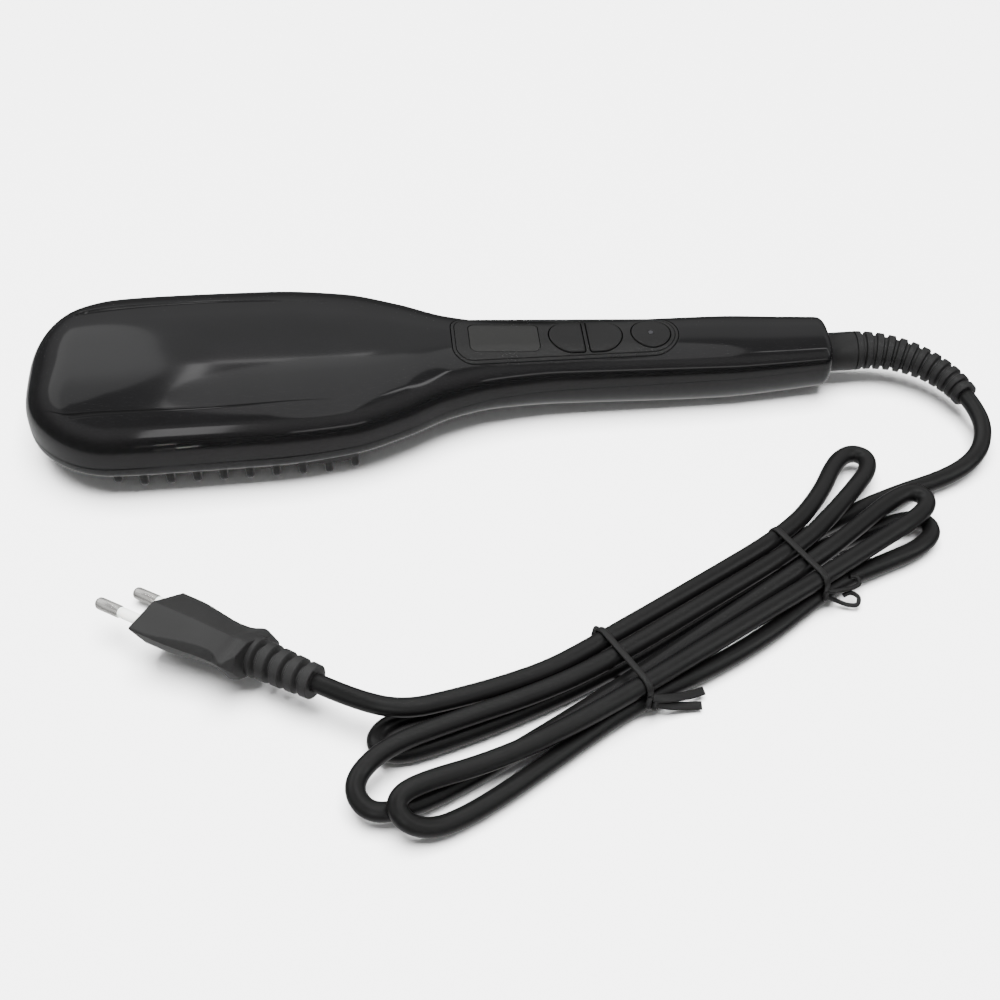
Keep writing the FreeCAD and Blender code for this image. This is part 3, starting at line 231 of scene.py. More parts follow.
def tiled(points, outlines):
    """Triangles between points in a plane, with the outlines as edges; rims index each outline."""
    spots = [Vector(point) for point in points]
    rounds = []
    for outline in outlines:
        rounds.append(list(range(len(spots), len(spots) + len(outline))))
        spots += [Vector(point) for point in outline]
    verts, _, triangles, origins, _, inside = delaunay_2d_cdt(spots, [], rounds, 0, 1e-7, True)
    where = {source: index for index, sources in enumerate(origins) for source in sources}
    return verts, triangles, inside, [[where[source] for source in ring] for ring in rounds], where


def strip(first, second, closed=True):
    """Quads between two rows of as many points."""
    count = len(first) if closed else len(first) - 1
    return [(first[k], first[(k + 1) % len(first)], second[(k + 1) % len(second)], second[k])
            for k in range(count)]


def near(line, index, closed=False):
    """Item of a line that goes round or stops at its ends."""
    return line[index % len(line) if closed else min(max(index, 0), len(line) - 1)]


class Shell:
    """Points in millimetres, faces and normals of one piece while it is put together."""

    def __init__(self):
        self.points, self.faces, self.normals = [], [], []

    def add(self, points, normals=None):
        first = len(self.points)
        self.points += [Vector(point) for point in points]
        self.normals += normals or [Vector()] * len(points)
        return list(range(first, len(self.points)))

    def face(self, faces, flip=False):
        self.faces += [tuple(reversed(face)) for face in faces] if flip else faces

    def loft(self, rings, closed=True, flip=False):
        for first, second in zip(rings, rings[1:]):
            self.face(strip(first, second, closed), flip)

    def solid(self, rings, flip=False):
        """Loft closed at both ends."""
        self.loft(rings, flip=flip)
        self.face([tuple(rings[0])], flip=not flip)
        self.face([tuple(rings[-1])], flip=flip)

    def rings(self, discs, levels):
        """Belts round discs, each with its growth and height."""
        return [self.add([(x, y, z) for x, y in belt(discs, grow)]) for grow, z in levels]

    def mesh(self, name):
        made = bpy.data.meshes.new(name)
        made.from_pydata([point * MM for point in self.points], [], self.faces)
        made.shade_smooth()
        made.set_sharp_from_angle(angle=CREASE)
        made.normals_split_custom_set_from_vertices(self.normals)
        return made


def placed(name, data):
    made = bpy.data.objects.new(name, data)
    bpy.context.scene.collection.objects.link(made)
    return made


def piece(name, form, finish, slot, *nodes, body="body"):
    """Object of a shell, mesh or curve that rides on a body and stands for CAD nodes."""
    data = form.mesh(name) if isinstance(form, Shell) else form
    made = placed(name, data)
    data.materials.clear()
    data.materials.append(finish.material)
    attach(made, body)
    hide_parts(*nodes)
    return made


def half_casing(node, upper, openings):
    """One casing half: a fine outer skin with openings, its seam lip and the CAD's inner walls."""
    half, edge, power = casing_at(80.0, upper)
    angles = np.linspace(0, pi, 4001)
    across = half * np.sign(np.cos(angles)) * np.abs(np.cos(angles)) ** (2 / power)
    height = (edge - SEAM) * np.sin(angles) ** (2 / power)
    lengths = np.concatenate(([0.0], np.cumsum(np.hypot(np.diff(across), np.diff(height)))))
    girth = lengths[-1]

    def on_skin(station, reach):
        half, edge, power = casing_at(station, upper)
        angle = float(np.interp(reach, lengths, angles))
        side = copysign(abs(cos(angle)) ** (2 / power), cos(angle))
        return Vector((TIP + station, half * side, SEAM + (edge - SEAM) * abs(sin(angle)) ** (2 / power)))

    def spread(x, y):
        half, _, power = casing_at(x - TIP, upper)
        angle = acos(copysign((abs(y) / half) ** (power / 2), y))
        return x - TIP, float(np.interp(angle, angles, lengths))

    straight = LENGTH - NOSE_ROUND - END_ROUND
    stations = [NOSE_ROUND - NOSE_ROUND * cos(radians(4.5 * k)) for k in range(20)]
    stations += [NOSE_ROUND + straight * k / 150 for k in range(151)]
    stations += [LENGTH - END_ROUND + END_ROUND * sin(radians(15 * k)) for k in range(1, 7)]
    reaches = [0.0, SEAM_FOLD] + [SEAM_FOLD + (girth - 2 * SEAM_FOLD) * k / 70 for k in range(1, 70)]
    reaches += [girth - SEAM_FOLD, girth]
    grid = [(station, reach) for station in stations for reach in reaches]
    verts, triangles, inside, rims, where = tiled(
        grid, [[spread(x, y) for x, y in reversed(opening)] for opening in openings])
    rims = [rim[::-1] for rim in rims]
    shell = Shell()
    points = [on_skin(*vert) for vert in verts]
    normals = [skin_normal(point) for point in points]
    width = len(reaches)
    edges = [[where[row * width + column] for row in range(len(stations))] for column in (0, width - 1)]
    for edge in edges:
        for index in edge:
            shift = Vector((0, 0, SEAM_GAP if upper else -SEAM_GAP))
            points[index] = points[index] - normals[index] * SEAM_FOLD + shift
            normals[index] = Vector()
    shell.add(points, normals)
    shell.face([tuple(triangle) for triangle, within in zip(triangles, inside) if not within], flip=upper)
    shell.face([tuple(where[column] for column in range(width))], flip=upper)
    for edge, side in zip(edges, (1, -1)):
        lip = shell.add([
            points[index] - Vector((0, side * min(SEAM_LIP, SEAM_LIP_SHARE * abs(points[index].y)), 0))
            for index in edge])
        shell.face(strip(edge, lip, closed=False), flip=(side > 0) != upper)
    inner = bmesh.new()
    inner.from_mesh(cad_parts[node].data)
    bmesh.ops.remove_doubles(inner, verts=inner.verts, dist=1e-7)
    spots = [vert.co * 1000 for vert in inner.verts]
    inner.verts.index_update()
    depths = [(1 - swell(spot.x - TIP, spot.y, spot.z)) * hypot(spot.y, spot.z - SEAM) for spot in spots]
    skin_depth, seam_reach = 0.6, 0.08
    first = len(shell.points)
    shell.add(spots)
    for face in inner.faces:
        corners = [vert.index for vert in face.verts]
        skinned = all(depths[corner] < skin_depth for corner in corners)
        seamed = all(abs(spots[corner].z - SEAM) < seam_reach for corner in corners)
        if not skinned and not seamed:
            shell.face([tuple(first + corner for corner in corners)])
    inner.free()
    return shell, rims


def sunk_rim(shell, rim, discs, levels, upper):
    """Rounded edge and wall of an opening in the skin, from its rim through (growth, depth) levels."""
    rows = [rim]
    for grow, depth in levels:
        shift = Vector((0, 0, -depth if upper else depth))
        rows.append(shell.add([skin_point(x, y, upper) + shift for x, y in belt(discs, grow)]))
    shell.loft(rows, flip=not upper)


PANEL = [(1.05 + 6.5, 5.3, 6.5), (1.05 + 6.5, -5.3, 6.5), (71.15, 0.0, 9.8)]
PANEL_GAP, PANEL_ROUND = 0.15, 0.3
LINE_START, LINE_SPAN, LINE_STEPS, LINE_RIM = 8.8, 96.2, 90, 1.35
LINE_SINKS = ((-1.0, 0.45), (-0.82, 1.35), (0.0, 1.6), (0.82, 1.35), (1.0, 0.45))


def side_line(side, inset, breadth):
    """Moulded line along one side of the head: places, directions across and half widths."""
    places, widths = [], []
    for k in range(LINE_STEPS + 1):
        station = LINE_START + LINE_SPAN * (k / LINE_STEPS) ** 1.25
        y = side * through((8.8, 21.0, 58.8, 105.0), (21.8, 27.6, 28.8, 26.8), station) - side * inset
        places.append(Vector((TIP + station, y)))
        widths.append(breadth * through((8.8, 14.0, 17.2, 19.0, 60.0, 105.0),
                                        (0.05, 0.2, 0.3, 0.85, 0.5, 0.06), station))
    lines = []
    for index, (place, width) in enumerate(zip(places, widths)):
        heading = (near(places, index + 1) - near(places, index - 1)).normalized()
        lines.append((place, Vector((-heading.y, heading.x)), width))
    return lines


def line_outline(line):
    return ([tuple(spot - out * (LINE_RIM * width)) for spot, out, width in line]
            + [tuple(spot + out * (LINE_RIM * width)) for spot, out, width in reversed(line)])


side_lines = [side_line(-1, -0.9, 1.0), side_line(1, 5.6, 1.6)]
openings = [belt(PANEL, PANEL_GAP + PANEL_ROUND)] + [line_outline(line) for line in side_lines]
cover, rims = half_casing("top_cover", True, openings)
sunk_rim(cover, rims[0], PANEL, ((0.3, 0.04), (0.19, 0.15), (0.15, 0.32), (0.14, 1.3)), True)
for line, rim in zip(side_lines, rims[1:]):
    count = len(line)
    rows = [rim[:count]]
    for offset, sink in LINE_SINKS:
        rows.append(cover.add([skin_point(*(spot + out * (offset * width)), True) - Vector((0, 0, sink * width))
                               for spot, out, width in line]))
    rows.append(rim[count:][::-1])
    cover.loft(rows, closed=False)
gloss_black = moulded("gloss_black", grey(0.0026, 0.0001), grey(0.0036, 0.0002), 0.1, 0.03, 420.0, 0.0000015,
                      IOR=1.5, Coat_Weight=0.2, Coat_Roughness=0.05)
piece("top_cover_gloss", cover, gloss_black, "gloss_black", "top_cover")

# Bottom housing. The lower half of the casing is moulded in the same black plastic. It has the
# rounded opening of the brush field in its underside, and two deep holes for the casing screws.
FIELD = -75.75
FIELD_REACH, FIELD_SIDE, FIELD_CORNER = 33.5, 19.0, 13.0
OPENING = [(FIELD + end * FIELD_REACH, side * FIELD_SIDE, FIELD_CORNER)
           for end, side in ((-1, 1), (-1, -1), (1, -1), (1, 1))]
SCREW_HOLES = [[(-19.25, 0.0, 2.8)], [(99.75, 0.0, 2.8)]]
openings = [belt(OPENING, 0.5)] + [belt(hole, 0.4) for hole in SCREW_HOLES]
housing, rims = half_casing("bottom_housing", False, openings)
sunk_rim(housing, rims[0], OPENING, ((0.18, 0.1), (0.02, 0.45), (0.01, 2.4)), False)
for hole, rim in zip(SCREW_HOLES, rims[1:]):
    sunk_rim(housing, rim, hole, ((0.12, 0.1), (0.0, 0.4), (-0.01, 2.3)), False)
piece("bottom_housing_gloss", housing, gloss_black, "matte_black", "bottom_housing")

# Bristle frame. A moulded ring of heat-proof matt black plastic sits in the brush opening, held by
# a flange inside, and its row of short square guard posts keeps the hot plate off the scalp.
# Each post is drawn up from a rounded square and closed with a softened tip.


def nodes_tree(name, *sizes, counts=()):
    """Geometry tree with a finish, sizes and counts as inputs, and readings of them."""
    tree = bpy.data.node_groups.new(name, "GeometryNodeTree")
    inputs = [("Geometry", "Geometry"), ("Finish", "Material")]
    inputs += [(size, "Float") for size in sizes] + [(count, "Int") for count in counts]
    for label, kind in inputs:
        tree.interface.new_socket(label, in_out="INPUT", socket_type="NodeSocket" + kind)
    tree.interface.new_socket("Geometry", in_out="OUTPUT", socket_type="NodeSocketGeometry")
    nodes = Nodes(tree)
    entry = tree.nodes.new("NodeGroupInput")
    given = {socket.name: Reading(nodes, socket) for socket in entry.outputs if socket.name}
    return nodes, given


def end_tree(nodes, geometry, finish):
    solid = nodes.node("GeometryNodeRealizeInstances", {"Geometry": geometry})
    soft = nodes.node("GeometryNodeSetShadeSmooth", {"Geometry": solid})
    painted = nodes.node("GeometryNodeSetMaterial", {"Geometry": soft, "Material": finish})
    leave = nodes.tree.nodes.new("NodeGroupOutput")
    nodes.tree.links.new(painted.socket, leave.inputs[0])


def grown(name, tree, finish, points, turns=(), **sizes):
    """Mesh that a tree grows on points in millimetres with turns, or else along a line of them."""
    start = bpy.data.meshes.new(name)
    edges = [] if turns else [(k, k + 1) for k in range(len(points) - 1)]
    start.from_pydata([Vector(point) * MM for point in points], edges, [])
    if turns:
        start.attributes.new("turn", "FLOAT", "POINT").data.foreach_set("value", turns)
    sizes["Finish"] = finish.material
    made = placed(name, start)
    modifier = made.modifiers.new(name, "NODES")
    modifier.node_group = tree
    for socket in tree.interface.items_tree:
        if socket.in_out == "INPUT" and socket.name in sizes:
            modifier[socket.identifier] = sizes[socket.name]
    evaluated = made.evaluated_get(bpy.context.evaluated_depsgraph_get())
    mesh = bpy.data.meshes.new_from_object(evaluated)
    made.modifiers.remove(modifier)
    bpy.data.objects.remove(made)
    return mesh


def joined(name, look, *meshes):
    """One piece of several meshes, with crisp edges kept crisp."""
    whole = bmesh.new()
    for mesh in meshes:
        whole.from_mesh(mesh)
    made = bpy.data.meshes.new(name)
    whole.to_mesh(made)
    whole.free()
    made.shade_smooth()
    made.set_sharp_from_angle(angle=CREASE)
    return piece(name, made, *look)


tree, given = nodes_tree("bristle_rows", "Length", "Width", "Corner", "Height", "Tip", "Taper")
square = tree.node("GeometryNodeCurvePrimitiveQuadrilateral",
                   {"Width": given["Length"], "Height": given["Width"]}, mode="RECTANGLE")
rounded = tree.node("GeometryNodeFilletCurve",
                    {"Curve": square, "Radius": given["Corner"], "Count": 3}, mode="POLY")
stem = tree.node("GeometryNodeCurvePrimitiveLine",
                 {"Direction": (0, 0, -1), "Length": given["Height"]}, mode="DIRECTION")
steps = tree.node("GeometryNodeResampleCurve", {"Curve": stem, "Count": 15}, mode="COUNT")
along = tree.node("GeometryNodeSplineParameter")
near_tip = tree.node("ShaderNodeMapRange", {"Value": along, "From Min": 1.0 - given["Tip"], "From Max": 1.0})
closing = tree.node("ShaderNodeMath", {0: 1.0 - near_tip * near_tip * 0.72}, operation="SQRT")
bristle = tree.node("GeometryNodeCurveToMesh", {
    "Curve": steps, "Profile Curve": rounded, "Fill Caps": True,
    "Scale": closing * (1.0 - along * given["Taper"])})
turn = tree.node("GeometryNodeInputNamedAttribute", {"Name": "turn"}, data_type="FLOAT")
upright = tree.node("ShaderNodeCombineXYZ", {"Z": turn})
row = tree.node("GeometryNodeInstanceOnPoints", {
    "Points": given["Geometry"], "Instance": bristle, "Rotation": upright})
end_tree(tree, row, given["Finish"])
bristle_rows = tree.tree
PITCH, ROW_GAP = 9.0, 11.0
GUARD_SIDE, GUARD_END, GUARD_TOP = 29.7, 44.2, 5.9
heat_black = moulded("heat_black", grey(0.004), grey(0.007), 0.36, 0.1, 1500.0, 0.000008, IOR=1.5)
ring = Shell()
levels = [(2.6, 14.0), (2.6, 12.4), (-0.2, 12.4), (-0.2, 6.0), (-0.32, 5.5), (-0.7, 5.2), (-4.3, 5.2),
          (-4.7, 5.45), (-4.8, 5.8), (-4.8, 7.4), (-3.2, 7.4), (-3.2, 14.0)]
rows = ring.rings(OPENING, levels)
ring.loft(rows + rows[:1], flip=True)
guard_spots = []
for column in range(10):
    offset = PITCH * (column - 4.5)
    corner = sqrt(FIELD_CORNER ** 2 - max(0.0, abs(offset) - FIELD_REACH) ** 2)
    side = GUARD_SIDE - FIELD_CORNER + corner
    guard_spots += [(FIELD + offset, side, GUARD_TOP), (FIELD + offset, -side, GUARD_TOP)]
for line in (-1, 0, 1):
    guard_spots += [(FIELD + end * GUARD_END, ROW_GAP * line, GUARD_TOP) for end in (1, -1)]
guard_turns = [0.0] * 20 + [pi / 2] * 6
guards = grown("guard_posts", bristle_rows, heat_black, guard_spots, guard_turns, Length=0.0028, Width=0.0026,
               Corner=0.0006, Height=0.0059, Tip=0.3, Taper=0.06)
joined("bristle_frame_moulding", (heat_black, "matte_black", "bristle_frame", "guard_posts"),
       ring.mesh("frame_ring"), guards)

# Heating plate. A die-cast aluminium plate with a baked black coat rests on the frame's lip, and its
# five rows of flat teeth carry the heat into the hair. Nylon caps are pressed onto the teeth.
black_coat = Finish("black_coat", IOR=1.6, Metallic=0.0, Coat_Weight=0.4, Coat_Roughness=0.25)
cast = black_coat.noise(900.0, 4.0)
worn = black_coat.noise(140.0, 3.0)
black_coat.feed("Base Color", black_coat.blend(worn, (0.008, 0.0075, 0.007, 1), (0.018, 0.016, 0.0145, 1)))
black_coat.feed("Roughness", 0.30 + 0.22 * cast)
black_coat.bump(cast, 0.00003)
plate = Shell()
levels = [(-3.9, 7.4), (-3.55, 7.55), (-3.5, 7.8), (-3.5, 9.2), (-3.7, 9.4)]
plate.solid(plate.rings(OPENING, levels))
TOOTH_TOP, CAP_TOP = 7.6, 3.05
tooth_spots = [(FIELD + PITCH * (column - 4), ROW_GAP * (line - 2), TOOTH_TOP)
               for line in range(5) for column in range(9)]
straight = [0.0] * len(tooth_spots)
teeth = grown("plate_teeth", bristle_rows, black_coat, tooth_spots, straight, Length=0.0042, Width=0.0018,
              Corner=0.0005, Height=0.0046, Tip=0.05, Taper=0.04)
joined("heating_plate_cast", (black_coat, "black_coat", "heating_plate", "plate_teeth"),
       plate.mesh("plate_slab"), teeth)
tip_nylon = moulded("tip_nylon", grey(0.010), grey(0.016), 0.5, 0.12, 2200.0, 0.000012, IOR=1.53,
                    Subsurface_Weight=0.05)
cap_spots = [(x, y, CAP_TOP) for x, y, _ in tooth_spots]
caps = grown("nylon_caps", bristle_rows, tip_nylon, cap_spots, straight, Length=0.0044, Width=0.0021,
             Corner=0.0008, Height=0.00265, Tip=0.55, Taper=0.1)
joined("bristle_tips_nylon", (tip_nylon, "tip_nylon", "bristle_tips"), caps)

# Heater stack and wiring. Two ceramic heaters lie on the plate under a mica sheet and a silicone pad,
# with a steel bar clamping them; a glass sensor, a thermal fuse and sleeved leads lie beside them.


def dress(finish, *names):
    """Give the finish to CAD nodes that keep their own shape."""
    for name in names:
        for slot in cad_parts[name].material_slots:
            slot.material = finish.material


ceramic = Finish("ceramic", IOR=1.6)
ceramic.tone(ceramic.noise(1400.0, 4.0), (0.62, 0.60, 0.55, 1), (0.78, 0.77, 0.72, 1), 0.45, 0.25, 0.00002)
dress(ceramic, "ceramic_heaters", "varistor")
mica = Finish("mica", IOR=1.58)
flake = mica.node("ShaderNodeTexVoronoi", {"Vector": mica.place, "Scale": 420.0}, out="Distance", feature="F1")
mica.tone(flake, (0.42, 0.34, 0.20, 1), (0.66, 0.58, 0.40, 1), 0.25, 0.3, 0.00002)
dress(mica, "insulation_sheet")
dress(moulded("silicone", (0.42, 0.10, 0.07, 1), (0.52, 0.15, 0.10, 1), 0.6, 0.1, 1800.0, 0.00001), "pressure_pad")
steel = Finish("steel", IOR=2.5, Metallic=1.0)
steel.tone(steel.noise(160.0, 4.0, steel.stretched(1.0, 14.0, 14.0)), grey(0.42, 0.01), grey(0.60, 0.01),
           0.24, 0.22, 0.000008)
dress(steel, "clamp_bar", "frame_screws", "case_screws", "board_screws")
sensor_glass = moulded("sensor_glass", (0.30, 0.16, 0.08, 1), (0.40, 0.23, 0.12, 1), 0.12, 0.06, 900.0, 0.000004,
                       IOR=1.5)
dress(sensor_glass, "temperature_sensor")
can = Finish("aluminium_can", Metallic=1.0)
can.tone(can.noise(220.0, 4.0, can.stretched(18.0, 1.0, 1.0)), grey(0.56), grey(0.70), 0.28, 0.2, 0.000006)
dress(can, "thermal_fuse")
sleeve = Finish("wire_sleeve", IOR=1.45)
weave = sleeve.node("ShaderNodeTexWave", {"Vector": sleeve.place, "Scale": 900.0, "Distortion": 1.5}, out="Fac",
                    wave_type="BANDS", bands_direction="DIAGONAL")
sleeve.tone(weave, grey(0.62, -0.02), grey(0.78, -0.02), 0.55, 0.2, 0.00003)
dress(sleeve, "heater_leads", "sensor_leads", "mains_wires")

# Circuit board. A green glass-fibre board on two posts in the handle carries the display, the three
# tact switches, the controller, the triac and its capacitor, and the terminals of the wires.
board_green = Finish("board_green", IOR=1.5, Coat_Weight=0.5, Coat_Roughness=0.2)
tracks = board_green.node("ShaderNodeTexBrick", {
    "Vector": board_green.place, "Scale": 260.0, "Mortar Size": 0.03,
    "Color1": (0.008, 0.07, 0.03, 1), "Color2": (0.010, 0.09, 0.04, 1), "Mortar": (0.03, 0.17, 0.07, 1)}, offset=0.5)
glass = board_green.noise(1600.0, 2.0)
board_green.feed("Base Color", tracks)
board_green.feed("Roughness", 0.3 + 0.2 * glass)
board_green.bump(glass, 0.00001)
dress(board_green, "circuit_board")
part_plastic = moulded("part_plastic", grey(0.018), grey(0.03), 0.42, 0.12, 1700.0, 0.000012)
dress(part_plastic, "switch_bodies", "minus_switch_plunger", "plus_switch_plunger", "power_switch_plunger",
      "display_module", "controller_chip", "power_triac", "mains_capacitor", "heater_terminal",
      "mains_terminal", "contact_block")
light_lens = Finish("light_lens", IOR=1.49, Transmission_Weight=0.25)
light_lens.tone(light_lens.noise(700.0, 3.0), grey(0.014, 0.002), grey(0.022, 0.002), 0.22, 0.15, 0.000006)
dress(light_lens, "indicator_lamp")

# Control panel. A satin black inlay lies flush in its pocket on the handle. It is cut out for the
# display window and the buttons, and a thin gap runs all round it.
WINDOW = [(9.55, 4.7, 2.4), (9.55, -4.7, 2.4), (29.05, -4.7, 2.4), (29.05, 4.7, 2.4)]
MINUS = [(42.85, 0.0, 7.8), (46.25, -7.0, 0.8), (46.25, 7.0, 0.8)]
PLUS = [(53.05, 0.0, 7.8), (49.65, 7.0, 0.8), (49.65, -7.0, 0.8)]
POWER = [(71.15, 0.0, 6.9)]
LENS = [(71.15, 0.0, 0.9)]


def inlay(name, look, discs, cutouts, lift, edge, depth, foot=(), body="body"):
    """Plate with the handle's crown on top, a rounded rim, a straight side and a closed underside."""
    shell = Shell()
    cell, handle = 1.1, 13.0
    bends = [(edge * sin(radians(15 * k)), edge * (1 - cos(radians(15 * k)))) for k in range(7)]
    xs = [x for x, _ in belt(discs)]
    ys = [y for _, y in belt(discs)]
    grid = [(min(xs) + cell * i, min(ys) + cell * j) for i in range(int((max(xs) - min(xs)) / cell) + 2)
            for j in range(int((max(ys) - min(ys)) / cell) + 2)]
    outlines = [belt(discs, -edge)] + [belt(hole, gap + edge) for hole, gap in cutouts]
    verts, triangles, inside, rims, _ = tiled(grid, outlines)
    raised = [skin_point(min(max(x, TIP), TIP + LENGTH), max(-handle, min(handle, y)), True) for x, y in verts]
    shell.add([point + Vector((0, 0, lift)) for point in raised], [skin_normal(point) for point in raised])
    shell.face([tuple(triangle) for triangle, within in zip(triangles, inside) if within == [0]])

    def ring(outline, drop):
        return shell.add([skin_point(x, y, True) + Vector((0, 0, lift - drop)) for x, y in outline])

    side = [rims[0]] + [ring(belt(discs, out - edge), drop) for out, drop in bends[1:]]
    side.append(ring(belt(discs), depth))
    side += shell.rings(discs, foot)
    shell.loft(side, flip=True)
    bottoms = [side[-1]]
    for (hole, gap), rim in zip(cutouts, rims[1:]):
        walls = [rim] + [ring(belt(hole, gap + edge - out), drop) for out, drop in bends[1:]]
        walls += shell.rings(hole, [(gap, foot[-1][1])]) if foot else [ring(belt(hole, gap), depth)]
        shell.loft(walls)
        bottoms.append(walls[-1])
    flat = [[tuple(shell.points[index].xy) for index in row] for row in bottoms]
    _, triangles, inside, under, _ = tiled([], flat)
    index_of = {low: high for lows, highs in zip(under, bottoms) for low, high in zip(lows, highs)}
    shell.face([tuple(index_of[corner] for corner in triangle)
                for triangle, within in zip(triangles, inside) if within == [0]], flip=True)
    used = sorted({corner for face in shell.faces for corner in face})
    order = {index: spot for spot, index in enumerate(used)}
    shell.points = [shell.points[index] for index in used]
    shell.normals = [shell.normals[index] for index in used]
    shell.faces = [tuple(order[corner] for corner in face) for face in shell.faces]
    return piece(name, shell, *look, body=body)


panel_black = moulded("panel_black", grey(0.0035), grey(0.005), 0.28, 0.06, 900.0, 0.000003, IOR=1.5,
                      Coat_Weight=0.15, Coat_Roughness=0.15)
FACE_INSET = 1.25
FACE = [(x, y, radius - FACE_INSET) for x, y, radius in PANEL]
panel_look = (panel_black, "panel_black", "control_panel")
inlay("control_panel_rim", panel_look, PANEL, [(FACE, 0.12)], 0.0, 0.28, 1.45)
inlay("control_panel_face", panel_look, FACE, [(WINDOW, 0.15), (MINUS, 0.3), (PLUS, 0.3), (POWER, 0.3)], 0.0,
      0.25, 1.45)

# Display window. A smoked acrylic pane is let into the panel over the display, a little below its face.
# Switched off, it looks like dark satin glass.
display_glass = Finish("display_glass", IOR=1.49, Coat_Weight=0.3, Coat_Roughness=0.12)
haze = display_glass.noise(90.0, 3.0)
display_glass.feed("Base Color", display_glass.blend(haze, grey(0.0055), grey(0.0068, -0.0004)))
display_glass.feed("Roughness", 0.26 + 0.06 * haze)
display_glass.bump(display_glass.noise(600.0), 0.000001)
inlay("display_window_pane", (display_glass, "display_glass", "display_window"), WINDOW, [], -0.15, 0.18, 0.8)

# Push buttons. Two half-round temperature buttons stand back to back, with the round power button
# beyond them. Each is a satin black cap over a flange that keeps it under the panel.
button_black = moulded("button_black", grey(0.0035), grey(0.005), 0.34, 0.08, 1300.0, 0.000004, IOR=1.5)
PANEL_BACK, FLANGE_REACH, FLANGE_THICK = 1.75, 0.6, 0.8
flange_corner = POWER[0][2] + FLANGE_REACH
flange_top = skin_point(POWER[0][0] + flange_corner, flange_corner, True).z - PANEL_BACK
cap_foot = [(0.0, flange_top), (FLANGE_REACH, flange_top), (FLANGE_REACH, flange_top - FLANGE_THICK)]
for name, discs, cutouts in (("minus", MINUS, []), ("plus", PLUS, []), ("power", POWER, [(LENS, 0.02)])):
    inlay(name + "_button_cap", (button_black, "button_black", name + "_button"), discs, cutouts, 0.2, 0.4, 1.2,
          cap_foot, name)
inlay("power_lens_dot", (light_lens, "light_lens", "power_lens"), LENS, [], 0.2, 0.12, 1.9, body="power")

# Swivel. The smooth neck turns in the handle's end so that the lead never twists. It is moulded in one
# with the flange and shank inside, which carry two brass slip rings over sprung contacts.
AXIS, BARREL_END = 12.75, 146.25


def turned(shell, profile, steps, place, flip=False):
    """Turned form from (along, radius) pairs; place takes (along, across, up) to the object."""
    turns = [2 * pi * k / steps for k in range(steps)]
    shell.solid([shell.add([place(along, radius * cos(turn), radius * sin(turn)) for turn in turns])
                 for along, radius in profile], flip)


soft_black = moulded("soft_black", grey(0.005), grey(0.008), 0.44, 0.12, 1400.0, 0.00001, IOR=1.48)
barrel = Shell()
turned(barrel, [(117.85, 4.1), (118.2, 4.5), (130.85, 4.5), (130.85, 7.7), (131.2, 8.0), (132.9, 8.0), (133.25, 7.7),
                (133.25, 7.0), (145.4, 7.0), (145.95, 6.85), (BARREL_END, 6.4)], 48,
       lambda along, across, up: (along, across, AXIS + up))
piece("swivel_barrel_neck", barrel, soft_black, "matte_black", "swivel_barrel", body="swivel")
brass = Finish("brass", Metallic=1.0)
brass.tone(brass.noise(260.0, 4.0, brass.stretched(12.0, 1.0, 1.0)), (0.62, 0.42, 0.16, 1), (0.78, 0.57, 0.26, 1),
           0.22, 0.2, 0.000006)
dress(brass, "slip_rings", "contact_springs")

# Strain relief. A soft black sleeve bends round from the neck and tapers to the cord; rings cut into it
# let it flex. It is moulded over the cord, so it moves with the cord's end.
tree, given = nodes_tree("ribbed_sleeve", "First", "Last", "Depth", counts=["Ribs"])
route = tree.node("GeometryNodeMeshToCurve", {"Mesh": given["Geometry"]})
fine = tree.node("GeometryNodeResampleCurve", {"Curve": route, "Count": given["Ribs"] * 20 + 1}, mode="COUNT")
along = tree.node("GeometryNodeSplineParameter")
phase = tree.node("ShaderNodeMath", {0: along * (given["Ribs"] - 0.46)}, operation="FRACT")
fall = tree.node("ShaderNodeMapRange",
                 {"Value": phase, "From Min": 0.50, "From Max": 0.66}, interpolation_type="SMOOTHERSTEP")
climb = tree.node("ShaderNodeMapRange",
                  {"Value": phase, "From Min": 0.84, "From Max": 1.0}, interpolation_type="SMOOTHERSTEP")
radius = given["First"] + (given["Last"] - given["First"]) * along - given["Depth"] * (fall - climb)
girth = tree.node("GeometryNodeCurvePrimitiveCircle", {"Resolution": 40, "Radius": 1.0}, mode="RADIUS")
sleeve_form = tree.node("GeometryNodeCurveToMesh", {
    "Curve": fine, "Profile Curve": girth, "Scale": radius, "Fill Caps": True})
end_tree(tree, sleeve_form, given["Finish"])
ribbed_sleeve = tree.tree
tilt = radians(6.0)
BEND, BEND_TURN, BEND_STEPS = 36.0, 72.0, 60
bend_way = Vector((0, -cos(tilt), -sin(tilt)))
relief_line = []
for k in range(BEND_STEPS + 1):
    angle = radians(BEND_TURN * k / BEND_STEPS)
    relief_line.append(Vector((BARREL_END + BEND * sin(angle), 0, AXIS)) + bend_way * (BEND * (1 - cos(angle))))
relief_sleeve = grown("relief_sleeve", ribbed_sleeve, soft_black, relief_line, Ribs=12, First=0.007,
                      Last=0.0046, Depth=0.0011)
relief = joined("strain_relief_sleeve", (soft_black, "soft_black", "strain_relief"), relief_sleeve)

# Ties. Two flat black wire ties hold the hank; the near one is knotted and leaves two cut ends, and the
# far one is twisted into small loops. Both are a steel wire in a soft plastic strip.


def hank(along, across, height):
    """Point of the hank: along its runs, across them and up from the floor."""
    turn, middle_x, middle_y = radians(30.0), 59.2, -123.6
    return Vector((middle_x + along * cos(turn) - across * sin(turn),
                   middle_y + along * sin(turn) + across * cos(turn), height))


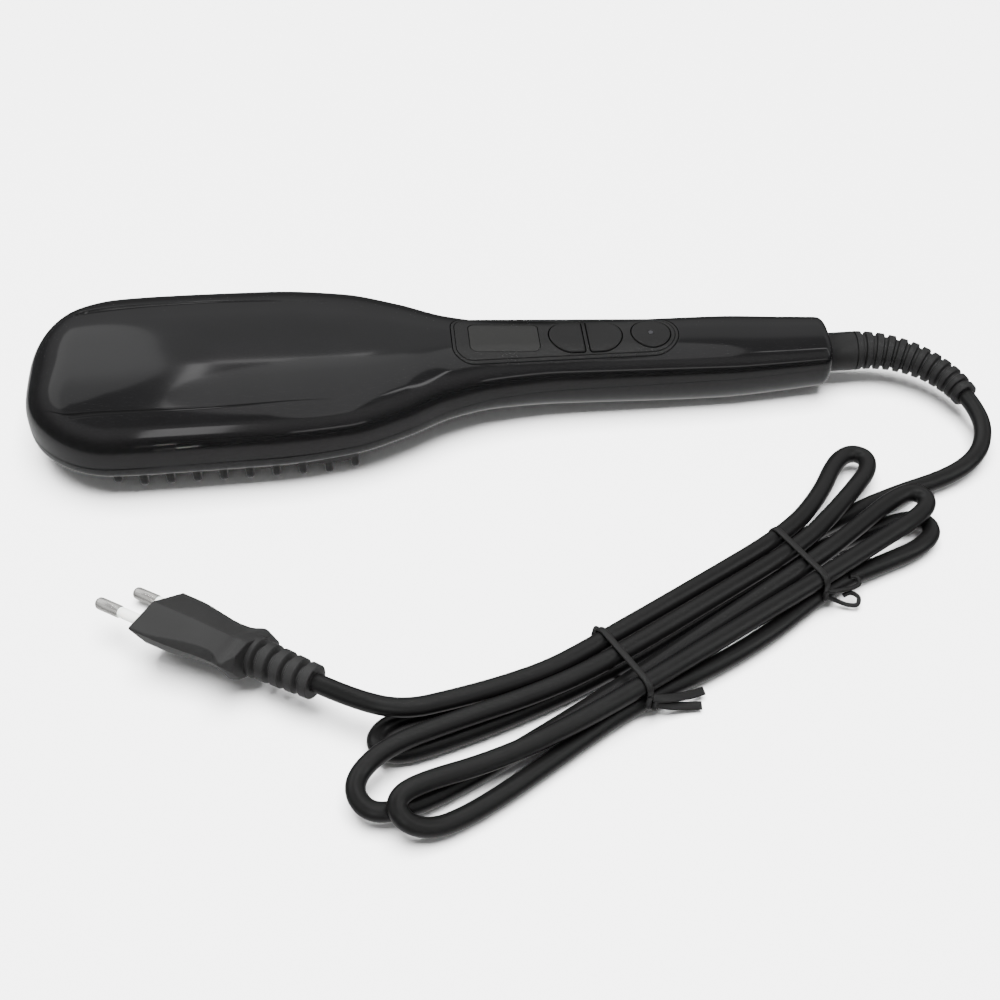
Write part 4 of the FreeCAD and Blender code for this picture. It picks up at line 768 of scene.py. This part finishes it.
def eased(points, steps, closed=False):
    """Points along a smooth line through given points."""
    points = [Vector(point) for point in points]
    line = []
    for span in range(len(points) if closed else len(points) - 1):
        a, b, c, d = (near(points, span + k, closed) for k in (-1, 0, 1, 2))
        for k in range(steps):
            t = k / steps
            line.append(0.5 * (2 * b + (c - a) * t + (2 * a - 5 * b + 4 * c - d) * t ** 2
                               + (3 * b - a - 3 * c + d) * t ** 3))
    return line if closed else line + [points[-1]]


def strap(shell, line, faces_way, half_width, half_depth, closed=False):
    """Flat strip with rounded edges along a line; faces_way gives the way its broad face looks."""
    turns = [radians(angle) for angle in (-90, -45, 0, 45, 90)]
    outline = [(half_width - half_depth + half_depth * cos(turn), half_depth * sin(turn)) for turn in turns]
    outline += [(-x, -y) for x, y in outline]
    rows = []
    for index, spot in enumerate(line):
        heading = (near(line, index + 1, closed) - near(line, index - 1, closed)).normalized()
        out = faces_way(index)
        across = out.cross(heading).normalized()
        out = heading.cross(across)
        rows.append(shell.add([spot + across * x + out * y for x, y in outline]))
    if closed:
        shell.loft(rows + rows[:1])
    else:
        shell.solid(rows)


def wire_tie(name, node, along, slant, ends, end_steps, end_way, end_size, knots, knot_squeeze, knot_width):
    """Tie on the hank: a leaning band round the runs, its loose ends and its knot's rings."""
    shell = Shell()
    middle, height, strand = 1.7, 7.7, 3.15
    outline = belt([(11.9, 11.0, strand), (-8.5, 11.0, strand), (-8.5, 4.4, strand), (11.9, 4.4, strand)], 0.45, 8)
    band = [hank(along + slant * (across - middle), across, z) for across, z in outline]
    heart = hank(along, middle, height)
    strap(shell, band, lambda index: band[index] - heart, 1.1, 0.45, closed=True)
    for end in ends:
        line = eased([hank(along + u, v, z) for u, v, z in end], end_steps)
        strap(shell, line, lambda index: Vector(end_way), *end_size)
    for u, v, z, size in knots:
        loop = eased([hank(along + u + size * cos(turn) * knot_squeeze, v + 0.5 * size * cos(turn),
                           z + size * sin(turn)) for turn in (0.0, 1.57, 3.14, 4.71)], 7, closed=True)
        eye = hank(along + u, v, z)
        strap(shell, loop, lambda index: loop[index] - eye, knot_width, 0.5, closed=True)
    return piece(name, shell, tie_black, "tie_black", node)


tie_black = moulded("tie_black", grey(0.004), grey(0.006), 0.4, 0.1, 1600.0, 0.000012, IOR=1.5)
left_ends = [[(-0.4, -10.9, 6.4), (0.4, -12.6, 6.2), (4.0, -15.0, 4.4), (9.0, -17.2, 2.6), (13.6, -19.6, 1.9)],
             [(0.3, -10.9, 8.2), (1.2, -12.8, 7.8), (6.0, -14.6, 6.2), (12.0, -15.6, 4.0), (17.4, -16.0, 2.4)]]
left_knots = [(-1.4, -12.6, 7.4, 1.9), (0.6, -13.2, 5.4, 1.6), (0.4, 15.9, 10.8, 1.7)]
left_tie = wire_tie("left_tie_strip", "left_tie", -18.7, 0.06, left_ends, 8, (0.0, -0.45, 0.9), (1.35, 0.4),
                    left_knots, 0.8, 0.85)
right_ends = [[(-0.4, -10.9, 6.2), (0.2, -12.6, 5.6), (3.2, -14.2, 3.2), (5.6, -16.6, 2.0), (8.0, -18.4, 2.2),
               (9.6, -17.0, 3.4), (8.2, -14.8, 4.4), (5.4, -14.4, 4.6)],
              [(0.2, -10.9, 8.4), (0.8, -12.8, 8.2), (4.6, -14.0, 7.4), (9.0, -14.6, 6.2), (12.2, -14.2, 5.6),
               (12.8, -12.4, 6.6), (10.6, -11.4, 7.6)]]
right_tie = wire_tie("right_tie_strip", "right_tie", 52.8, 0.05, right_ends, 7, (0.0, -0.5, 0.85), (0.75, 0.55),
                     [(-0.6, -12.4, 6.6, 1.6)], 0.7, 0.7)

# Plug. A flat two-pin mains plug moulded onto the cord in matt black plastic: six-sided at the front,
# drawn in at the waist for the fingers, flared again, and ending in a slotted bend relief.
yaw, pitch, roll = (radians(angle) for angle in (-35.5, 4.0, -33.5))
plug_a = Vector((cos(yaw) * cos(pitch), sin(yaw) * cos(pitch), sin(pitch)))
level = Vector((-sin(yaw), cos(yaw), 0.0))
plug_b = level * cos(roll) + plug_a.cross(level) * sin(roll)
plug_n = plug_a.cross(plug_b)
PLUG_FRONT = Vector((-96.3, -99.2, 9.9))
PLUG_STATIONS = (0, 8, 16, 24, 28, 32.4, 35.5)
PIN_SIDE = 9.0


def plug_point(along, across, up):
    return PLUG_FRONT + plug_a * along + plug_b * across + plug_n * up


plug_black = moulded("plug_black", grey(0.008), grey(0.012), 0.46, 0.1, 1500.0, 0.000014, IOR=1.48)
body = bmesh.new()
rows = []
for along in (0.0, 3.0, 6.0, 9.0, 12.0, 15.0, 18.0, 21.0, 24.0, 26.0, 28.0, 29.5, 31.0, 32.2, 33.4, 35.2):
    full = through(PLUG_STATIONS, (17.65, 17.6, 16.6, 15.4, 15.3, 16.0, 15.4), along)
    high = through(PLUG_STATIONS, (6.85, 6.8, 6.3, 5.7, 5.8, 6.6, 5.9), along)
    flat = through(PLUG_STATIONS, (7.3, 7.2, 6.2, 5.4, 5.6, 7.2, 6.0), along)
    grip = through((0, 7, 12, 18, 24, 27, 30, 32.4, 33.6, 35.5),
                   (17.1, 16.9, 15.6, 13.6, 12.3, 12.4, 13.9, 15.3, 14.9, 10.2), along)
    edge = high * (full - grip) / (full - flat)
    upper = ((grip, edge), (flat, high), (-flat, high), (-grip, edge))
    lower = tuple((-across, -up) for across, up in upper)
    rows.append([body.verts.new(plug_point(along, across, up) * MM) for across, up in upper + lower])
for first, second in zip(rows, rows[1:]):
    for corners in strip(first, second):
        body.faces.new(corners)
body.faces.new(rows[0][::-1])
body.faces.new(rows[-1])
bmesh.ops.recalc_face_normals(body, faces=body.faces)
ridges = [edge for edge in body.edges if edge.calc_face_angle(0.0) > radians(14)]
bmesh.ops.bevel(body, geom=ridges, offset=0.0006, segments=3, profile=0.6, affect="EDGES", clamp_overlap=True)
plug_solid = bpy.data.meshes.new("plug_solid")
body.to_mesh(plug_solid)
body.free()
plug_line = [plug_point(34.0 + 23.0 * k / 20, 0, 0) for k in range(21)]
plug_sleeve = grown("plug_sleeve", ribbed_sleeve, plug_black, plug_line, Ribs=5, First=0.0064, Last=0.0054,
                    Depth=0.0021)
plug = joined("plug_moulding", (plug_black, "matte_black", "plug_body"), plug_solid, plug_sleeve)
pin_nickel = Finish("pin_nickel", Metallic=0.92)
pin_nickel.tone(pin_nickel.noise(240.0, 4.0), (0.74, 0.73, 0.70, 1), (0.86, 0.85, 0.82, 1), 0.14, 0.16, 0.000004)
pin_sleeve = moulded("pin_sleeve", grey(0.66, -0.04), grey(0.76, -0.04), 0.42, 0.1, 1200.0, 0.00001, IOR=1.5,
                     Subsurface_Weight=0.1)


def pin_form(profile):
    """Both pins or sleeves on the plug's front, from (out, radius) pairs."""
    shell = Shell()
    for side in (-PIN_SIDE, PIN_SIDE):
        turned(shell, profile, 32, lambda out, across, up: plug_point(-out, side + across, up), flip=True)
    return shell


pins = piece("plug_pins_plated",
             pin_form([(-8.0, 1.4), (9.95, 1.4), (10.0, 1.85), (10.15, 2.0), (17.6, 2.0), (18.3, 1.85), (18.75, 1.5),
                       (18.95, 0.95), (19.0, 0.4)]), pin_nickel, "pin_nickel", "plug_pins")
sleeves = piece("plug_pin_sleeves_white", pin_form([(0.0, 1.75), (9.7, 1.75), (9.95, 1.6)]), pin_sleeve,
                "pin_sleeve", "plug_pin_sleeves")

# Cord. A round black PVC mains lead leaves the strain relief, runs down to the floor and is folded into
# a hank of seven runs between the two ties; its end goes out of the hank to the plug.
RUNS = [
    # First run, low on the side of the brush, to the upper loop
    (104, 8.2, 4.4), (84, 10.6, 4.4), (58, 11.9, 4.4), (17, 12.2, 4.4), (-24, 12.2, 4.4), (-48, 16.0, 4.4),
    (-70, 23.0, 4.4), (-86, 28.5, 4.4), (-94, 25.0, 4.4), (-91, 17.0, 4.4), (-76, 13.0, 4.4),
    # Back under the middle to the low fold
    (-54, 8.6, 4.4), (-24, 5.2, 4.4), (17, 5.1, 4.4), (58, 5.1, 4.4), (78, 2.6, 4.4), (95, -1.0, 4.4),
    (103, -5.0, 4.4), (102, -12.0, 4.4), (92, -14.0, 4.4), (76, -11.4, 4.4),
    # Along the near side and up over the lower fold
    (58, -8.6, 4.4), (20, -13.2, 4.4), (-24, -8.5, 4.4), (-50, -10.2, 4.4), (-74, -11.8, 4.4), (-88, -11.5, 4.6),
    (-96.5, -10.0, 5.6), (-102.5, -6.0, 9.0), (-102.4, -0.2, 12.4), (-94.5, 0.8, 13.2), (-72, -4.8, 11.4),
    # Back on top to the fold beside it
    (-48, -7.6, 11), (-24, -8.5, 11), (17, -8.6, 11), (58, -8.4, 11), (80, -7.8, 11), (97, -7.6, 11),
    (106, -4.6, 10.6), (105, 2.4, 10.6), (95, 3.2, 11), (78, 0.8, 11),
    # Down through the middle to the wide loop
    (58, -1.6, 11), (17, -1.7, 7.8), (-24, -1.7, 4.6), (-52, -2.0, 4.4), (-80, -2.0, 4.6), (-99, -0.4, 5.4),
    (-109, 4.0, 7.2), (-108, 14.0, 9.2), (-94, 18.0, 10.6), (-72, 13.4, 11),
    # Back on top to the loop that stands out at the cord's end
    (-46, 7.2, 11), (-24, 4.8, 11), (17, 5.0, 11), (58, 5.6, 11), (76, 10.0, 11), (92, 15.4, 9.6),
    (102, 19.6, 7.4), (107, 24.8, 6.6), (104.5, 30.2, 6.4), (96, 29.4, 7.4), (78, 18.6, 10.4),
    # Last run, on top on the side of the brush
    (58, 12.2, 11), (17, 11.8, 11), (-24, 11.9, 11)]
lead_route = [(180.5, -24.7, 10.1), (183.1, -32.7, 9.3), (182.3, -43.0, 7.6), (176.8, -51.8, 6.0),
              (165.2, -58.6, 4.6)]
tail_route = [(19.1, -132.4, 11.2), (4.5, -137.4, 11.8), (-9.0, -141.0, 12.4), (-25.0, -144.2, 12.8),
              (-39.4, -140.0, 14.8), (-50.0, -132.2, 13.9)]
route = [Vector(point) for point in lead_route]
route += [hank(*run) for run in RUNS] + [Vector(point) for point in tail_route]
cord_black = moulded("cord_black", grey(0.0026), grey(0.004), 0.32, 0.08, 1300.0, 0.000006, IOR=1.5)
curve = bpy.data.curves.new("mains_cord", "CURVE")
curve.dimensions = "3D"
spline = curve.splines.new("NURBS")
spline.points.add(len(route) - 1)
for spot, point in zip(spline.points, route):
    spot.co = (*(point * MM), 1.0)
spline.order_u = 3
spline.use_endpoint_u = True
spline.resolution_u = 8
curve.bevel_depth = 0.003
curve.bevel_resolution = 6
curve.use_fill_caps = True
mains_cord = piece("mains_cord", curve, cord_black, "cord_black", "cord_lead", "cord_hank", "cord_tail")

# Studio. A plain pale floor under a broad soft light, with dim soft boxes and strips that show as pale
# patches and lines in the polished cover, a surrounding that is bright only below and high up, and the
# camera where the photograph was taken.
floor_paint = Finish("floor_paint")
mottle = floor_paint.noise(3.0, 3.0)
floor_paint.feed("Base Color", floor_paint.blend(mottle, grey(0.90), grey(0.94)))
floor_paint.feed("Roughness", 0.75 + 0.1 * mottle)
ground = bmesh.new()
bmesh.ops.create_grid(ground, x_segments=2, y_segments=2, size=4.0)
floor_mesh = bpy.data.meshes.new("studio_floor")
ground.to_mesh(floor_mesh)
ground.free()
floor_mesh.materials.append(floor_paint.material)
floor = placed("studio_floor", floor_mesh)
floor.location.z = -0.0002
floor.visible_glossy = False


def soft_light(name, place, size, watts, target=None, mirrored=True, shape="RECTANGLE", turn=0.0):
    """Area light that looks at a target, or else straight down."""
    lamp = bpy.data.lights.new(name, "AREA")
    lamp.shape = shape
    lamp.size, lamp.size_y = size
    lamp.energy = watts
    made = placed(name, lamp)
    made.location = place
    aim = Vector(target or (*place[:2], 0.0)) - Vector(place)
    made.rotation_euler = aim.to_track_quat("-Z", "Y").to_euler()
    made.rotation_euler.z += radians(turn)
    made.visible_glossy = mirrored


soft_light("sky_panel", (0.0, -0.05, 2.2), (1.7, 1.7), 340.0, mirrored=False)
soft_light("overhead_box", (0.17, 0.03, 1.3), (0.78, 2.5), 3.0, shape="ELLIPSE", turn=7.0)
soft_light("overhead_edge", (-0.225, 0.58, 1.3), (0.045, 1.34), 0.45)
soft_light("overhead_end", (-0.02, 1.26, 1.3), (0.36, 0.06), 0.12)
soft_light("left_box", (-1.28, 1.2, 1.3), (1.96, 2.3), 5.6, shape="ELLIPSE", turn=5.0)
soft_light("right_strip", (1.10, -0.52, 0.85), (0.10, 1.50), 1.2, (-0.02, -0.02, 0.02))
soft_light("front_strip", (-0.30, -1.85, 1.0), (0.22, 0.85), 1.2, (-0.08, -0.03, 0.02))
soft_light("low_strip", (0.55, -1.9, 0.15), (0.9, 0.16), 0.6, (0.05, -0.02, 0.02))
world = bpy.data.worlds.new("studio")
world.use_nodes = True
sky = Nodes(world.node_tree)
way = sky.node("ShaderNodeSeparateXYZ", {0: sky.node("ShaderNodeTexCoord", out="Generated")}, out="Z")
tone = sky.node("ShaderNodeValToRGB", {0: way * 0.5 + 0.5}, stops=[
    (0.0, grey(0.6)), (0.2, grey(0.6)), (0.255, grey(0.52)), (0.3, grey(0.06)), (0.5, grey(0.06)),
    (0.62, grey(0.24)), (0.75, grey(0.40)), (0.85, grey(0.38)), (0.9, grey(0.14)), (1.0, grey(0.10))])
world.node_tree.links.new(tone.socket, world.node_tree.nodes["Background"].inputs["Color"])
bpy.context.scene.world = world

turn, fall = radians(-5.69), radians(46.0)
right_way = Vector((cos(turn), sin(turn), 0.0))
ahead = Vector((-sin(turn), cos(turn), 0.0))
forward = ahead * cos(fall) - Vector((0.0, 0.0, sin(fall)))
upward = ahead * sin(fall) + Vector((0.0, 0.0, cos(fall)))
lens = bpy.data.cameras.new("photo_view")
lens.lens, lens.sensor_width, lens.sensor_height = 57.6, 36.0, 36.0
lens.sensor_fit = "HORIZONTAL"
lens.clip_start = 0.01
camera = placed("photo_view", lens)
look_at, distance = Vector((0.01294, -0.04983, 0.0)), 0.5434
facing = Matrix((right_way, upward, -forward)).transposed().to_4x4()
camera.matrix_world = Matrix.Translation(look_at - forward * distance) @ facing
bpy.context.scene.camera = camera
